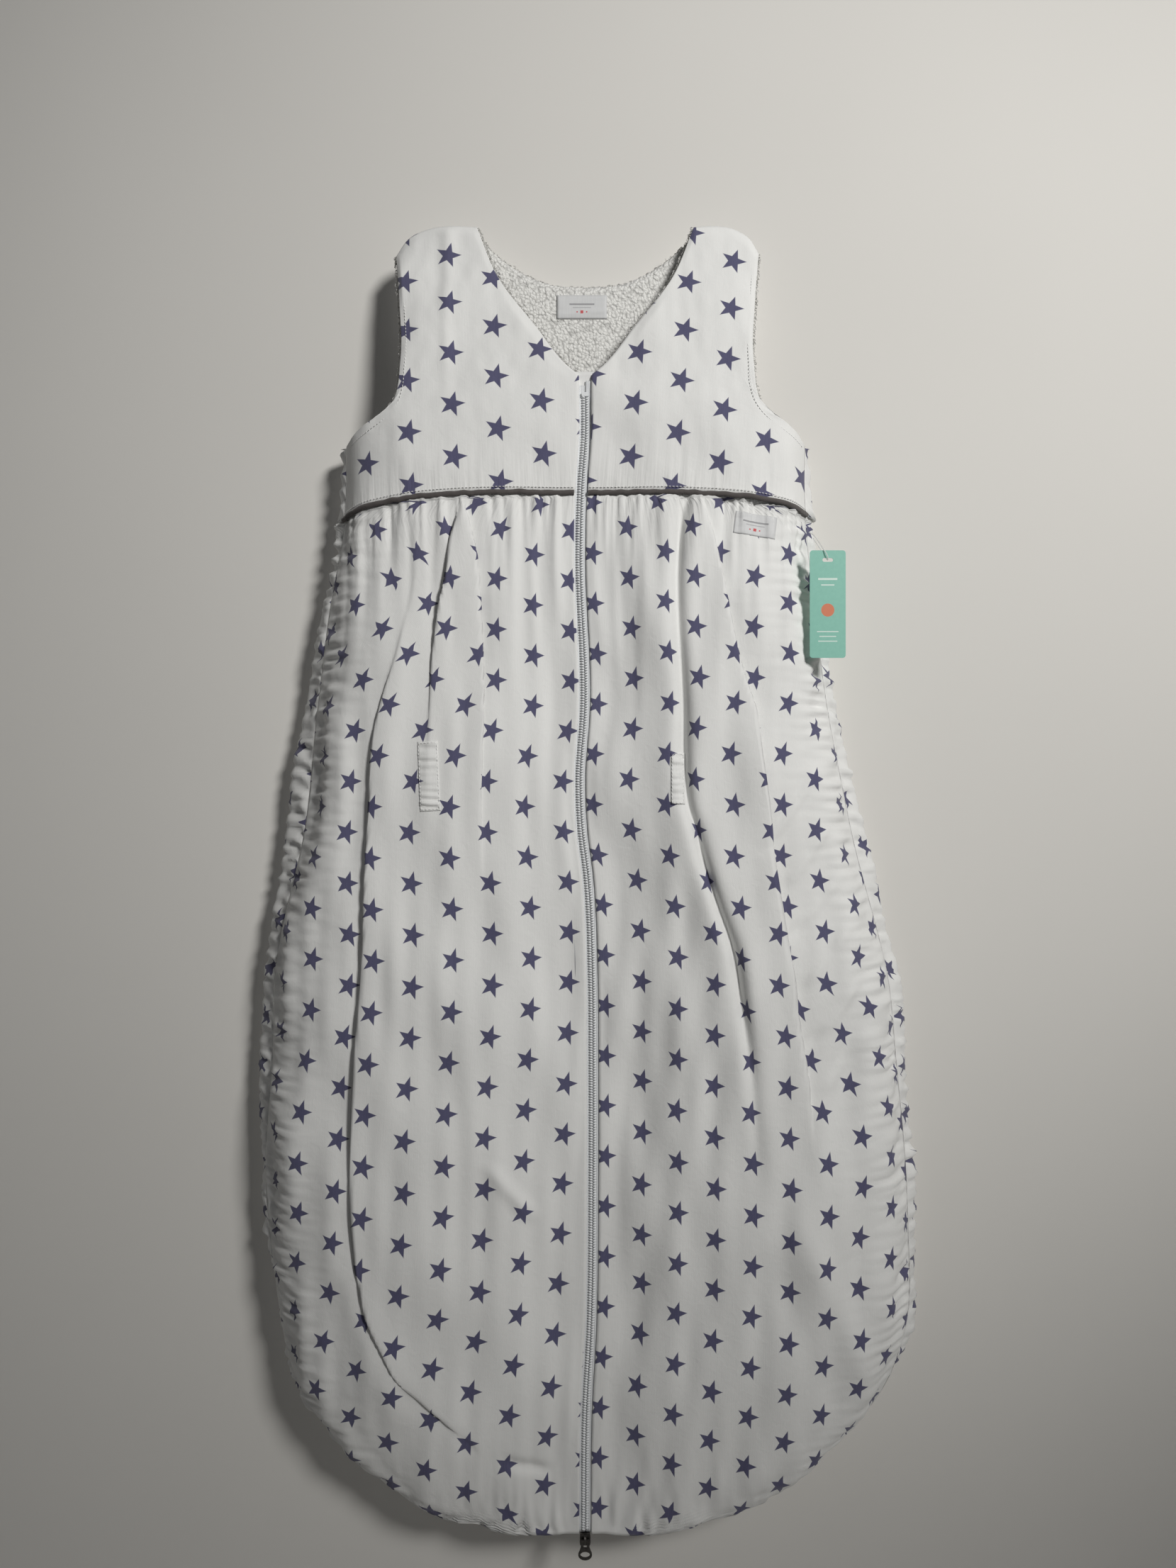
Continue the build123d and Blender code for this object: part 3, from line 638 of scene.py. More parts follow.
# ------------------------------------------------------- the yoke's two fronts
# The same printed cotton and wadding, cut smooth, seamed to the skirt below and
# turned in along the neck and the armholes, where the lining's edge shows.
FRONT_NECK = [(0, -126), (14, -115), (42.5, -78), (75.5, -32), (93.5, 12.6)]
BACK_NECK = [(0, -31), (32, -28), (65, -13), (85, 3), (93.5, 12.6)]
ARMHOLE = [(157, -9.5), (152, -57), (149.5, -108), (157, -148), (178, -164), (205, -177)]
SHOULDER_CROWN = [(93.5, 12.6), (113, 13.6), (131.5, 11.6), (147, 4.4), (157, -9.5)]
SHOULDER_TOP = 14 * MM
YOKE_SHIFT = 7 * MM  # the yoke's outer edges hang this much to the left


def line_through(points, count):
    """Evenly spaced points on a smooth line through points in mm."""
    p = np.array(points, float) * MM
    step = np.concatenate([[0], np.cumsum(np.linalg.norm(np.diff(p, axis=0), axis=1))])
    fine = smooth_through(step, p, np.linspace(0, step[-1], 600))
    length = np.concatenate([[0], np.cumsum(np.linalg.norm(np.diff(fine, axis=0), axis=1))])
    return np.stack([np.interp(np.linspace(0, length[-1], count), length, fine[:, k]) for k in range(2)], -1)


def joined(first, second, count):
    """Two lines end to end, with evenly spaced points and a point at the corner."""
    a = np.linalg.norm(np.diff(first, axis=0), axis=1).sum()
    b = np.linalg.norm(np.diff(second, axis=0), axis=1).sum()
    n = max(2, min(count - 2, round((count - 1) * a / (a + b))))

    def even(line, number):
        length = np.concatenate([[0], np.cumsum(np.linalg.norm(np.diff(line, axis=0), axis=1))])
        return np.stack([np.interp(np.linspace(0, length[-1], number), length, line[:, k]) for k in range(2)], -1)

    return np.concatenate([even(first, n + 1), even(second, count - n)[1:]])


def stretched(bottom, top, left, right):
    """A grid of points stretched between four edge lines, rows from bottom to top."""
    rows, columns = len(left), len(bottom)
    s, r = np.linspace(0, 1, columns)[None, :, None], np.linspace(0, 1, rows)[:, None, None]
    return ((1 - r) * bottom[None] + r * top[None] + (1 - s) * left[:, None] + s * right[:, None]
            - (1 - r) * (1 - s) * bottom[0] - (1 - r) * s * bottom[-1] - r * (1 - s) * top[0] - r * s * top[-1])


def body_table(points_at, side, depth, low, high, count=100, across=120):
    """The body's front or back surface as a table, with even steps of length along each row."""
    heights = np.linspace(low, high, count)
    table = np.zeros((count, across, 2))
    for r, z in enumerate(heights):
        table[r] = np.stack(points_at(z, side, depth, across), -1)
    return heights, table


def row_at(body, z):
    heights, table = body
    at = np.clip((z - heights[0]) / (heights[1] - heights[0]), 0, len(heights) - 1.0001)
    low = np.asarray(at).astype(int)
    share = (at - low)[..., None, None]
    return table[low] * (1 - share) + table[low + 1] * share


def place_on(body, p, z):
    """The place on the body's surface at the share p of the way out, and height z."""
    heights, table = body
    at = np.clip((z - heights[0]) / (heights[1] - heights[0]), 0, len(heights) - 1.0001)
    low = at.astype(int)
    out = np.clip(p, 0, 1) * (table.shape[1] - 1.0001)
    step = out.astype(int)
    a, b = (at - low)[..., None], (out - step)[..., None]
    return ((1 - a) * ((1 - b) * table[low, step] + b * table[low, step + 1])
            + a * ((1 - b) * table[low + 1, step] + b * table[low + 1, step + 1]))


def share_of(body, line):
    """A line of (x, z) as (share of the way out, z)."""
    rows = row_at(body, line[:, 1])[..., 0]
    shares = np.linspace(0, 1, rows.shape[1])
    p = []
    for row, x in zip(rows, line[:, 0]):
        widest = int(np.argmax(row))
        p.append(1.0 if x >= row[widest] else np.interp(x, row[:widest + 1], shares[:widest + 1]))
    return np.stack([np.array(p), line[:, 1]], -1)


def front_row(z, side, depth, count):
    return even_row(front_points(z, side, depth), count)


def armhole(side, count):
    return line_through(ARMHOLE, count) - (side * YOKE_SHIFT, 0)


def shoulder_line(side, count):
    line = line_through(SHOULDER_CROWN, count)
    line[:, 0] -= side * YOKE_SHIFT * (line[:, 0] - line[0, 0]) / (line[-1, 0] - line[0, 0])
    return line


def armhole_line(body, side, count=160):
    """The armhole from the armpit up to the shoulder, in shares."""
    line = share_of(body, armhole(side, count)[::-1])
    meet = np.clip((-161 * MM - line[:, 1]) / (16 * MM), 0, 1)
    line[:, 0] += (1 - line[:, 0]) * meet ** 2
    return line


def yoke_front(side, columns, rows, depth=0.0, folded=True):
    body = body_table(front_row, side, depth, -250 * MM, SHOULDER_TOP)
    p = np.linspace(0, 1, columns)
    reach = row_at(body, np.full(columns, -235 * MM))[0, :, 0]
    bottom_x = np.interp(p, np.linspace(0, 1, len(reach)), reach)
    bottom = np.stack([p, yoke_seam_z(bottom_x)], -1)
    neck = line_through(FRONT_NECK, 200)
    neck = np.concatenate([[(ZIP_SLOT, -124 * MM)], neck[neck[:, 0] > ZIP_SLOT]])
    left = joined(np.array([bottom[0], (0, -124 * MM)]), share_of(body, neck), rows)
    arm = armhole_line(body, side)
    right = joined(np.array([bottom[-1], arm[0]]), arm, rows)
    grid = stretched(bottom, share_of(body, shoulder_line(side, columns)), left, right)
    x, y = np.moveaxis(place_on(body, grid[..., 0], grid[..., 1]), -1, 0)
    z = grid[..., 1]
    if folded:
        from_seam = z - yoke_seam_z(x)
        s, r = np.linspace(0, 1, columns)[None, :], np.linspace(0, 1, rows)[:, None]
        lift = np.exp(-from_seam / (14 * MM)) * 0.8 * MM * ripples(x, z, 8 * MM, 90 * MM, 71 + side)
        lift = lift + 0.7 * MM * ripples(x, z, 70 * MM, 90 * MM, 81 + side)
        lift = lift + 0.16 * MM * ripples(x, z, 20 * MM, 34 * MM, 91 + side)
        if side < 0:
            lift = lift + 1.6 * MM * np.exp(-((x - 0.118) / 0.006) ** 2) * np.clip((z + 0.16) / 0.05, 0, 1)
        lift = lift + np.clip(settled(np.stack([x, y, z], -1), 0.035, 0.02, 101 + side), -4 * MM, 5 * MM) * 0.8
        edge = np.minimum(np.minimum(s, 1 - s) * 0.13, np.minimum(r, 1 - r) * 0.2)
        y = y - (lift + 1.2 * MM) * np.clip(edge / (7 * MM), 0, 1)
    centre = zip_x(z) * np.exp(-(x / (60 * MM)) ** 2)
    return np.stack([side * x + centre, y, z], -1)


def yoke_print(places, side):
    x, _, z = (places[..., k] for k in range(3))
    turn, first = (-2.5, (-38.9, -100.1)) if side < 0 else (4.6, (45.4, -102.1))
    return np.stack(turned(x - first[0] * MM, z - first[1] * MM, turn), -1)


YOKE_COLUMNS, YOKE_ROWS = 84, 106
for side, word in ((-1, "left"), (1, "right")):
    outer = yoke_front(side, YOKE_COLUMNS, YOKE_ROWS)
    inner = yoke_front(side, YOKE_COLUMNS, YOKE_ROWS, PAD_DEPTH, folded=False)
    bm = sheet_of(YOKE_COLUMNS, YOKE_ROWS, outer, yoke_print(outer, side), inner)
    piece = finished_piece(f"yoke_front_{word}", bm, [star_cotton])
    set_gather(piece, lambda co: 0.7 * seam_gather(co))
    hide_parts(f"yoke_front_{word}_shell", f"yoke_front_{word}_wadding")
    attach(piece, "root")

# ------------------------------------------------------- the back, skirt and yoke
# The same cloth and wadding in two pieces, each the full width of the bag. They
# wrap a little way round to the front, where the side seams pucker their edges.
def back_row(z, side, depth, count):
    """The back's cross-section at one height, from the middle out to the side seam."""
    half, _, _, seam_y, back_y = body_at(z, side)
    half, back_y = half - depth, back_y - depth
    points = np.array([
        (0, back_y), (0.38 * half, back_y), (0.72 * half, 0.05 * seam_y + 0.95 * back_y),
        (0.93 * half, 0.25 * seam_y + 0.75 * back_y), (half, 0.5 * seam_y + 0.5 * back_y),
        (half - inset_at(z, side), seam_y)])
    step = np.concatenate([[0], np.cumsum(np.linalg.norm(np.diff(points, axis=0), axis=1))])
    fine = smooth_through(step, points, np.linspace(0, step[-1], 300))
    length = np.concatenate([[0], np.cumsum(np.linalg.norm(np.diff(fine, axis=0), axis=1))])
    even = np.linspace(0, length[-1], count)
    return np.interp(even, length, fine[:, 0]), np.interp(even, length, fine[:, 1])


def both_sides(half_grid):
    """Joins a left and a right half-grid, each from the middle outwards, into one."""
    left, right = half_grid
    return np.concatenate([left[:, :0:-1], right], axis=1)


def wrinkled_back(places, seed, low, high):
    x, y, z = (places[..., k] for k in range(3))
    out_x, out_y = (-v for v in outwards(places))
    edge = length_along(places)
    edge = np.minimum(edge, edge[:, -1:] - edge)
    from_seam = np.abs(z - yoke_seam_z(x))
    lift = np.exp(-edge / (24 * MM)) * 2.2 * MM * ripples(x, z, 40 * MM, 10 * MM, seed)
    lift = lift + np.exp(-from_seam / (24 * MM)) * 1.5 * MM * ripples(x, z, 10 * MM, 120 * MM, seed + 1)
    lift = lift + 1.5 * MM * ripples(x, z, 80 * MM, 200 * MM, seed + 2)
    lift = lift - np.clip(settled(places, 0.07, 0.045, seed + 3), -7 * MM, 7 * MM)
    held = np.clip(edge / (5 * MM), 0, 1) * np.clip((z - low) / (8 * MM), 0.05, 1) * np.clip((high - z) / (6 * MM), 0.05, 1)
    lift = lift * held
    return np.stack([x + lift * out_x, y + lift * out_y, z], -1)


def skirt_back(columns, rows, depth=0.0):
    halves = []
    for side in (-1, 1):
        body = body_table(back_row, side, depth, HEM_Z, YOKE_SEAM_Z, 240)
        p = np.linspace(0, 1, columns)[None, :].repeat(rows, 0)
        z = np.linspace(HEM_Z, YOKE_SEAM_Z, rows)[:, None].repeat(columns, 1)
        places = place_on(body, p, z)
        up = np.clip((np.linspace(0, 1, rows)[:, None] - 0.7) / 0.3, 0, 1) ** 2
        z = z + (yoke_seam_z(places[..., 0]) - YOKE_SEAM_Z) * up
        halves.append(np.stack([side * places[..., 0], places[..., 1], z], -1))
    return both_sides(halves)


def yoke_back(columns, rows, depth=0.0):
    halves = []
    for side in (-1, 1):
        body = body_table(back_row, side, depth, -250 * MM, SHOULDER_TOP)
        p = np.linspace(0, 1, columns)
        reach = row_at(body, np.full(columns, -235 * MM))[0, :, 0]
        bottom = np.stack([p, yoke_seam_z(np.interp(p, np.linspace(0, 1, len(reach)), reach))], -1)
        arm = armhole_line(body, side)
        right = joined(np.array([bottom[-1], arm[0]]), arm, rows)
        left = np.stack([np.zeros(rows), np.linspace(YOKE_SEAM_Z, BACK_NECK[0][1] * MM, rows)], -1)
        top = joined(share_of(body, line_through(BACK_NECK, 200)), share_of(body, shoulder_line(side, 60)), columns)
        grid = stretched(bottom, top, left, right)
        places = place_on(body, grid[..., 0], grid[..., 1])
        halves.append(np.stack([side * places[..., 0], places[..., 1], grid[..., 1]], -1))
    return both_sides(halves)


def back_print(places, scale):
    middle = places.shape[1] // 2
    u = length_along(places)
    u = (u - u[:, middle:middle + 1]) * 1.06 * scale
    return np.stack([u, (places[..., 2] + 0.31) * scale], -1)


for name, make, columns, rows, seed, low, high, scale, nodes in (
    ("skirt_back", skirt_back, 88, 290, 201, HEM_Z, 9.0, SKIRT_PRINT_SCALE, "skirt_back"),
    ("yoke_back", yoke_back, 76, 96, 231, -9.0, 9.0, 1.0, "yoke_back"),
):
    flat_back = make(columns, rows)
    outer = wrinkled_back(flat_back, seed, low, high)
    bm = sheet_of(2 * columns - 1, rows, outer, back_print(outer, scale), make(columns, rows, PAD_DEPTH))
    piece = finished_piece(name, bm, [star_cotton])
    set_gather(piece, seam_gather)
    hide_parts(f"{nodes}_shell", f"{nodes}_wadding")
    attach(piece, "root")

# ------------------------------------------------------------- the terry lining
# Looped cotton terry in three pieces, two fronts and a back, each cut in one from
# the hem to the shoulder and sewn in at every edge of the bag.
LINING_OUT, LINING_IN = 8.8 * MM, 10.8 * MM
terry, terry_in, terry_out = new_group(
    "terry_loops", [("Place", "NodeSocketVector", None), ("Loop", "NodeSocketFloat", 2.6 * MM)],
    [("Height", "NodeSocketFloat"), ("Gap Shade", "NodeSocketFloat")])
t = terry
per_metre = sum_of(t, "DIVIDE", 1.0, terry_in.outputs["Loop"])
drift = add_node(t, "ShaderNodeTexNoise", Vector=terry_in.outputs["Place"], Scale=160.0, Detail=2.0)
nudge = add_node(t, "ShaderNodeVectorMath", {"operation": "MULTIPLY_ADD"})
t.links.new(drift.outputs["Color"], nudge.inputs[0])
nudge.inputs[1].default_value = (0.004, 0.004, 0.004)
t.links.new(terry_in.outputs["Place"], nudge.inputs[2])
tufts = add_node(t, "ShaderNodeTexVoronoi", {"feature": "F1"}, Vector=nudge.outputs[0], Scale=per_metre)
fine = add_node(t, "ShaderNodeTexNoise", Vector=terry_in.outputs["Place"], Scale=900.0, Detail=2.0)
round_top = sum_of(t, "SUBTRACT", 1.0, sum_of(t, "POWER", tufts.outputs["Distance"], 1.6))
t.links.new(sum_of(t, "ADD", round_top, sum_of(t, "MULTIPLY", fine.outputs["Fac"], 0.5)), terry_out.inputs["Height"])
# Painted shade: this mask is 1 in the gaps between the loops, where shade falls, and the colour is darkened by it.
gap_shade = add_node(t, "ShaderNodeMapRange", Value=tufts.outputs["Distance"])
gap_shade.inputs["From Min"].default_value, gap_shade.inputs["From Max"].default_value = 0.35, 0.85
t.links.new(gap_shade.outputs["Result"], terry_out.inputs["Gap Shade"])

terry_white, tree, shader = new_material("terry_white", 0.95)
shader.inputs["Sheen Weight"].default_value = 0.3
place = add_node(tree, "ShaderNodeTexCoord").outputs["Object"]
loops = use_group(tree, terry, Place=place)
# Painted shade: the white turns grey in the gaps between the loops.
wire(tree, mix_colours(tree, loops.outputs["Gap Shade"], (0.83, 0.825, 0.80, 1), (0.60, 0.595, 0.575, 1)),
     shader.inputs["Base Color"])
bump = add_node(tree, "ShaderNodeBump", Height=sum_of(tree, "MULTIPLY", loops.outputs["Height"], 1.1 * MM), Distance=1.0)
tree.links.new(bump.outputs["Normal"], shader.inputs["Normal"])


def lining_front(side, columns, rows, depth):
    body = body_table(front_row, side, depth, HEM_Z, SHOULDER_TOP, 240)
    low = HEM_Z + 5 * MM
    bottom = np.stack([np.linspace(0, 1, columns), np.full(columns, low)], -1)
    neck = line_through(FRONT_NECK, 200)
    neck = np.concatenate([[(ZIP_SLOT, -124 * MM)], neck[neck[:, 0] > ZIP_SLOT]])
    left = joined(np.array([bottom[0], (0, -124 * MM)]), share_of(body, neck), rows)
    arm = armhole_line(body, side)
    right = joined(np.array([bottom[-1], arm[0]]), arm, rows)
    grid = stretched(bottom, share_of(body, shoulder_line(side, columns)), left, right)
    x, y = np.moveaxis(place_on(body, grid[..., 0], grid[..., 1]), -1, 0)
    z = grid[..., 1]
    return np.stack([side * x + zip_x(z) * np.exp(-(x / (60 * MM)) ** 2), y, z], -1)


def lining_back(columns, rows, depth):
    halves = []
    for side in (-1, 1):
        body = body_table(back_row, side, depth, HEM_Z, SHOULDER_TOP, 240)
        low = HEM_Z + 5 * MM
        bottom = np.stack([np.linspace(0, 1, columns), np.full(columns, low)], -1)
        arm = armhole_line(body, side)
        right = joined(np.array([bottom[-1], arm[0]]), arm, rows)
        left = np.stack([np.zeros(rows), np.linspace(low, BACK_NECK[0][1] * MM, rows)], -1)
        top = joined(share_of(body, line_through(BACK_NECK, 200)), share_of(body, shoulder_line(side, 60)), columns)
        grid = stretched(bottom, top, left, right)
        places = place_on(body, grid[..., 0], grid[..., 1])
        halves.append(np.stack([side * places[..., 0], places[..., 1], grid[..., 1]], -1))
    return both_sides(halves)


for name, make in (
    ("front_left_lining", lambda d: lining_front(-1, 56, 220, d)),
    ("front_right_lining", lambda d: lining_front(1, 56, 220, d)),
    ("back_lining", lambda d: lining_back(56, 220, d)),
):
    outer, inner = make(LINING_OUT), make(LINING_IN)
    rows, columns = outer.shape[:2]
    bm = sheet_of(columns, rows, outer, outer[..., (0, 2)], inner)
    piece = finished_piece(f"terry_{name}", bm, [terry_white])
    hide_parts(name)
    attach(piece, "root")


def loop_of_yarn(thick, wide):
    """One loop of the terry's yarn, bent up out of the cloth."""
    bm = bmesh.new()
    made = bmesh.ops.create_circle(bm, segments=4, radius=thick, cap_ends=False,
                                   matrix=Matrix.Translation((wide, 0, 0)) @ Matrix.Rotation(math.radians(90), 4, "X")
                                   @ Matrix.Identity(4))
    ring = list({e for v in made["verts"] for e in v.link_edges})
    bmesh.ops.spin(bm, geom=ring + made["verts"], cent=(0, 0, 0), axis=(0, 1, 0), angle=math.radians(-200), steps=5)
    bmesh.ops.recalc_face_normals(bm, faces=bm.faces[:])
    return bm


def copies_of(pattern, matrices):
    """One bmesh with a copy of the pattern at each place."""
    whole, carrier = bmesh.new(), bpy.data.meshes.new("carrier")
    for matrix in matrices:
        one = pattern.copy()
        bmesh.ops.transform(one, matrix=matrix, verts=one.verts[:])
        one.to_mesh(carrier)
        one.free()
        whole.from_mesh(carrier)
    bpy.data.meshes.remove(carrier)
    return whole


FRINGE_STEP, YARN_THICK, LOOP_WIDE = 1.3 * MM, 0.34 * MM, 1.15 * MM


def line_on_body(points_at, side, line, depth):
    """A line of (x, z) laid on the body's surface, in space."""
    body = body_table(points_at, side, depth, -250 * MM, SHOULDER_TOP)
    share = share_of(body, line)
    places = place_on(body, share[:, 0], share[:, 1])
    return np.stack([side * places[:, 0], places[:, 1], share[:, 1]], -1)


def beside(line, off):
    """The same line of (x, z) moved sideways, towards the opening."""
    d = np.gradient(line, axis=0)
    d /= np.linalg.norm(d, axis=1)[:, None]
    return line + off * np.stack([-d[:, 1], d[:, 0]], -1)


def evenly(line, step):
    length = np.concatenate([[0], np.cumsum(np.linalg.norm(np.diff(line, axis=0), axis=1))])
    at = np.linspace(0, length[-1], max(2, round(length[-1] / step)))
    return np.stack([np.interp(at, length, line[:, k]) for k in range(line.shape[1])], -1)


def fringe_along(name, lines, seed, rows=2):
    """Yarn loops standing out along the lining's sewn edge."""
    order = np.random.default_rng(seed)
    pattern = loop_of_yarn(YARN_THICK, LOOP_WIDE)
    matrices = []
    for line in lines:
        for _ in range(rows):
            for at in evenly(line, FRINGE_STEP):
                jitter = order.normal(0, 0.45 * MM, 3)
                size = order.uniform(0.7, 1.35)
                turn = (Matrix.Rotation(order.uniform(0, 2 * math.pi), 4, "Z")
                        @ Matrix.Rotation(order.uniform(-1.2, 1.2), 4, "X") @ Matrix.Rotation(order.uniform(-1.2, 1.2), 4, "Y"))
                matrices.append(Matrix.Translation(Vector(at + jitter)) @ turn @ Matrix.Scale(size, 4))
    piece = finished_piece(name, copies_of(pattern, matrices), [terry_yarn])
    pattern.free()
    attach(piece, "root")


terry_yarn, tree, shader = new_material("terry_yarn", 0.95)
place = add_node(tree, "ShaderNodeTexCoord").outputs["Object"]
fuzz = add_node(tree, "ShaderNodeTexNoise", Vector=place, Scale=700.0, Detail=2.0).outputs["Fac"]
wire(tree, mix_colours(tree, fuzz, (0.74, 0.735, 0.71, 1), (0.86, 0.855, 0.83, 1)), shader.inputs["Base Color"])

for side, word in ((-1, "left"), (1, "right")):
    arm = beside(armhole(side, 160), 0.9 * MM)
    neck, nape = (beside(line_through(points, 160), 0.9 * MM) for points in (FRONT_NECK, BACK_NECK))
    fringe_along(f"terry_edge_armhole_{word}", [
        line_on_body(front_row, side, arm, 4 * MM), line_on_body(back_row, side, arm, 5 * MM)], 300 + side)
    fringe_along(f"terry_edge_neck_{word}", [
        line_on_body(front_row, side, neck[neck[:, 0] > ZIP_SLOT], 5 * MM), line_on_body(back_row, side, nape, 6 * MM)],
        310 + side)

# ---------------------------------------------------------------- the zipper
# Two woven tapes with a moulded coil along each edge, sewn under the fronts' folded
# edges, with a strip of the printed cloth behind it so that it doesn't touch skin.
CHAIN_TOP, CHAIN_END = -141 * MM, -1105 * MM
TAPE_BACK, TAPE_FRONT, TAPE_HALF = -33.9 * MM, -34.5 * MM, 14.5 * MM
COIL_PITCH = 2.2 * MM


def band(x_from, x_to, z_from, z_to, y_at, columns, rows, thick, bow=0.0):
    """A flat band beside the zipper's line, as a closed strip."""
    s = np.linspace(0, 1, columns)[None, :].repeat(rows, 0)
    z = np.linspace(z_from, z_to, rows)[:, None].repeat(columns, 1)
    x = x_from + (x_to - x_from) * s + zip_x(z)
    y = y_at - bow * np.sin(math.pi * s)
    outer = np.stack([x, y + 0 * x, z], -1)
    return outer, outer + (0, thick, 0)


zip_tape, tree, shader = new_material("zip_tape", 0.75)
cloth = add_node(tree, "ShaderNodeUVMap", {"uv_map": "cloth"}).outputs["UV"]
yarn = use_group(tree, weave, Cloth=cloth, Yarn=0.75 * MM)
edge = add_node(tree, "ShaderNodeSeparateXYZ", Vector=cloth).outputs["X"]
# Painted shade: the colour runs darker in the grooves between the woven ribs and lighter on the ribs, in step with
# their bump below.
lines = sum_of(tree, "SINE", sum_of(tree, "MULTIPLY", edge, 2 * math.pi / (1.6 * MM)))
tone = sum_of(tree, "MULTIPLY_ADD", lines, 0.22, 0.5)
wire(tree, mix_colours(tree, tone, (0.64, 0.66, 0.68, 1), (0.78, 0.79, 0.80, 1)), shader.inputs["Base Color"])
height = sum_of(tree, "ADD", sum_of(tree, "MULTIPLY", yarn.outputs["Height"], 0.06 * MM),
                sum_of(tree, "MULTIPLY", lines, 0.12 * MM))
bump = add_node(tree, "ShaderNodeBump", Height=height, Distance=1.0)
tree.links.new(bump.outputs["Normal"], shader.inputs["Normal"])

for side, word in ((-1, "left"), (1, "right")):
    start, end = (0.3 * MM, TAPE_HALF) if side > 0 else (-TAPE_HALF, -0.3 * MM)
    top = -127 * MM if side > 0 else -131 * MM
    outer, inner = band(start, end, CHAIN_END + 6 * MM, top, TAPE_FRONT, 12, 400, TAPE_BACK - TAPE_FRONT)
    bm = sheet_of(12, 400, outer, outer[..., (0, 2)], inner)
    piece = finished_piece(f"zip_tape_{word}", bm, [zip_tape])
    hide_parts(f"zipper_tape_{word}")
    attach(piece, "root")

coil_white, tree, shader = new_material("coil_white", 0.34)
place = add_node(tree, "ShaderNodeTexCoord").outputs["Object"]
cloud = add_node(tree, "ShaderNodeTexNoise", Vector=place, Scale=300.0, Detail=2.0).outputs["Fac"]
wire(tree, mix_colours(tree, cloud, (0.76, 0.78, 0.80, 1), (0.86, 0.87, 0.88, 1)), shader.inputs["Base Color"])
for side, word in ((-1, "left"), (1, "right")):
    turn_shape = bmesh.new()
    bmesh.ops.create_uvsphere(turn_shape, u_segments=8, v_segments=5, radius=1.0)
    bmesh.ops.transform(turn_shape, matrix=Matrix.Diagonal((1.62 * MM, 0.95 * MM, 0.82 * MM, 1)), verts=turn_shape.verts[:])
    matrices = []
    heights = np.arange(CHAIN_END + 9 * MM, CHAIN_TOP, COIL_PITCH) + (0.5 * COIL_PITCH if side > 0 else 0)
    for z in heights:
        matrices.append(Matrix.Translation((float(zip_x(z)) + side * 1.45 * MM, -35.9 * MM, z))
                        @ Matrix.Rotation(math.radians(-side * 9), 4, "Y"))
    piece = finished_piece(f"zip_coil_{word}", copies_of(turn_shape, matrices), [coil_white])
    turn_shape.free()
    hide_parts(f"zipper_coil_{word}")
    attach(piece, "root")

outer, inner = band(-TAPE_HALF, TAPE_HALF, -1096 * MM, -119 * MM, -31.6 * MM, 26, 330, 1.2 * MM)
rise = np.clip((outer[..., 2] + 152 * MM) / (33 * MM), 0, 1)
lean = np.stack([0 * rise, -2.2 * MM * rise ** 1.5, 0 * rise], -1)
bm = sheet_of(26, 330, outer + lean, outer[..., (0, 2)] * 1.0 + np.array((10.5 * MM, 135.5 * MM)), inner + lean)
piece = finished_piece("zip_guard_strip", bm, [star_cotton])
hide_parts("zip_guard")
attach(piece, "root")

# ---------------------------------------------------------------- the piping
# A round cord wrapped in dark bias-cut cotton, laid into the yoke seam on each side
# of the zipper.
PIPING_R = 2.2 * MM
piping_cotton, tree, shader = new_material("piping_cotton", 0.85)
shader.inputs["Sheen Weight"].default_value = 0.25
place = add_node(tree, "ShaderNodeTexCoord").outputs["Object"]
turned_place = add_node(tree, "ShaderNodeMapping", Vector=place)
turned_place.inputs["Rotation"].default_value = (0, math.radians(40), 0)
yarn = use_group(tree, weave, Cloth=turned_place.outputs[0], Yarn=0.5 * MM)
cloud = add_node(tree, "ShaderNodeTexNoise", Vector=place, Scale=160.0, Detail=4.0).outputs["Fac"]
wire(tree, mix_colours(tree, cloud, (0.060, 0.052, 0.050, 1), (0.105, 0.092, 0.088, 1)), shader.inputs["Base Color"])
bump = add_node(tree, "ShaderNodeBump", Height=sum_of(tree, "ADD", sum_of(tree, "MULTIPLY", yarn.outputs["Height"], 0.05 * MM),
                                                      sum_of(tree, "MULTIPLY", cloud, 0.8 * MM)), Distance=1.0)
tree.links.new(bump.outputs["Normal"], shader.inputs["Normal"])


def tube_along(name, line, radius, material, sides=10):
    """A round cord along a line of points."""
    data = bpy.data.curves.new(name, "CURVE")
    data.dimensions, data.bevel_depth, data.bevel_resolution, data.use_fill_caps = "3D", radius, max(1, sides // 4), True
    spline = data.splines.new("POLY")
    spline.points.add(len(line) - 1)
    for point, at in zip(spline.points, line):
        point.co = (*at, 1)
    carrier = bpy.data.objects.new(name + "_curve", data)
    bpy.context.collection.objects.link(carrier)
    mesh = bpy.data.meshes.new_from_object(carrier.evaluated_get(bpy.context.evaluated_depsgraph_get()))
    bpy.data.objects.remove(carrier)
    bpy.data.curves.remove(data)
    bm = bmesh.new()
    bm.from_mesh(mesh)
    bpy.data.meshes.remove(mesh)
    return finished_piece(name, bm, [material])


def front_seam_line(side, above, out, start=6.0 * MM, end_share=1.0):
    """The yoke seam on the front, from beside the zipper to the side seam."""
    body = body_table(front_row, side, 0.0, -260 * MM, SHOULDER_TOP)
    level = np.array([YOKE_SEAM_END_Z])
    half = (body_at(level, side)[0] - inset_at(level, side))[0] * end_share
    x = np.linspace(start, half, 120)
    line = np.stack([x, yoke_seam_z(x) + above], -1)
    share = share_of(body, line)
    places = place_on(body, share[:, 0], share[:, 1])
    centre = zip_x(share[:, 1]) * np.exp(-(places[:, 0] / (60 * MM)) ** 2)
    return np.stack([side * places[:, 0] + centre, places[:, 1] - out, share[:, 1]], -1)


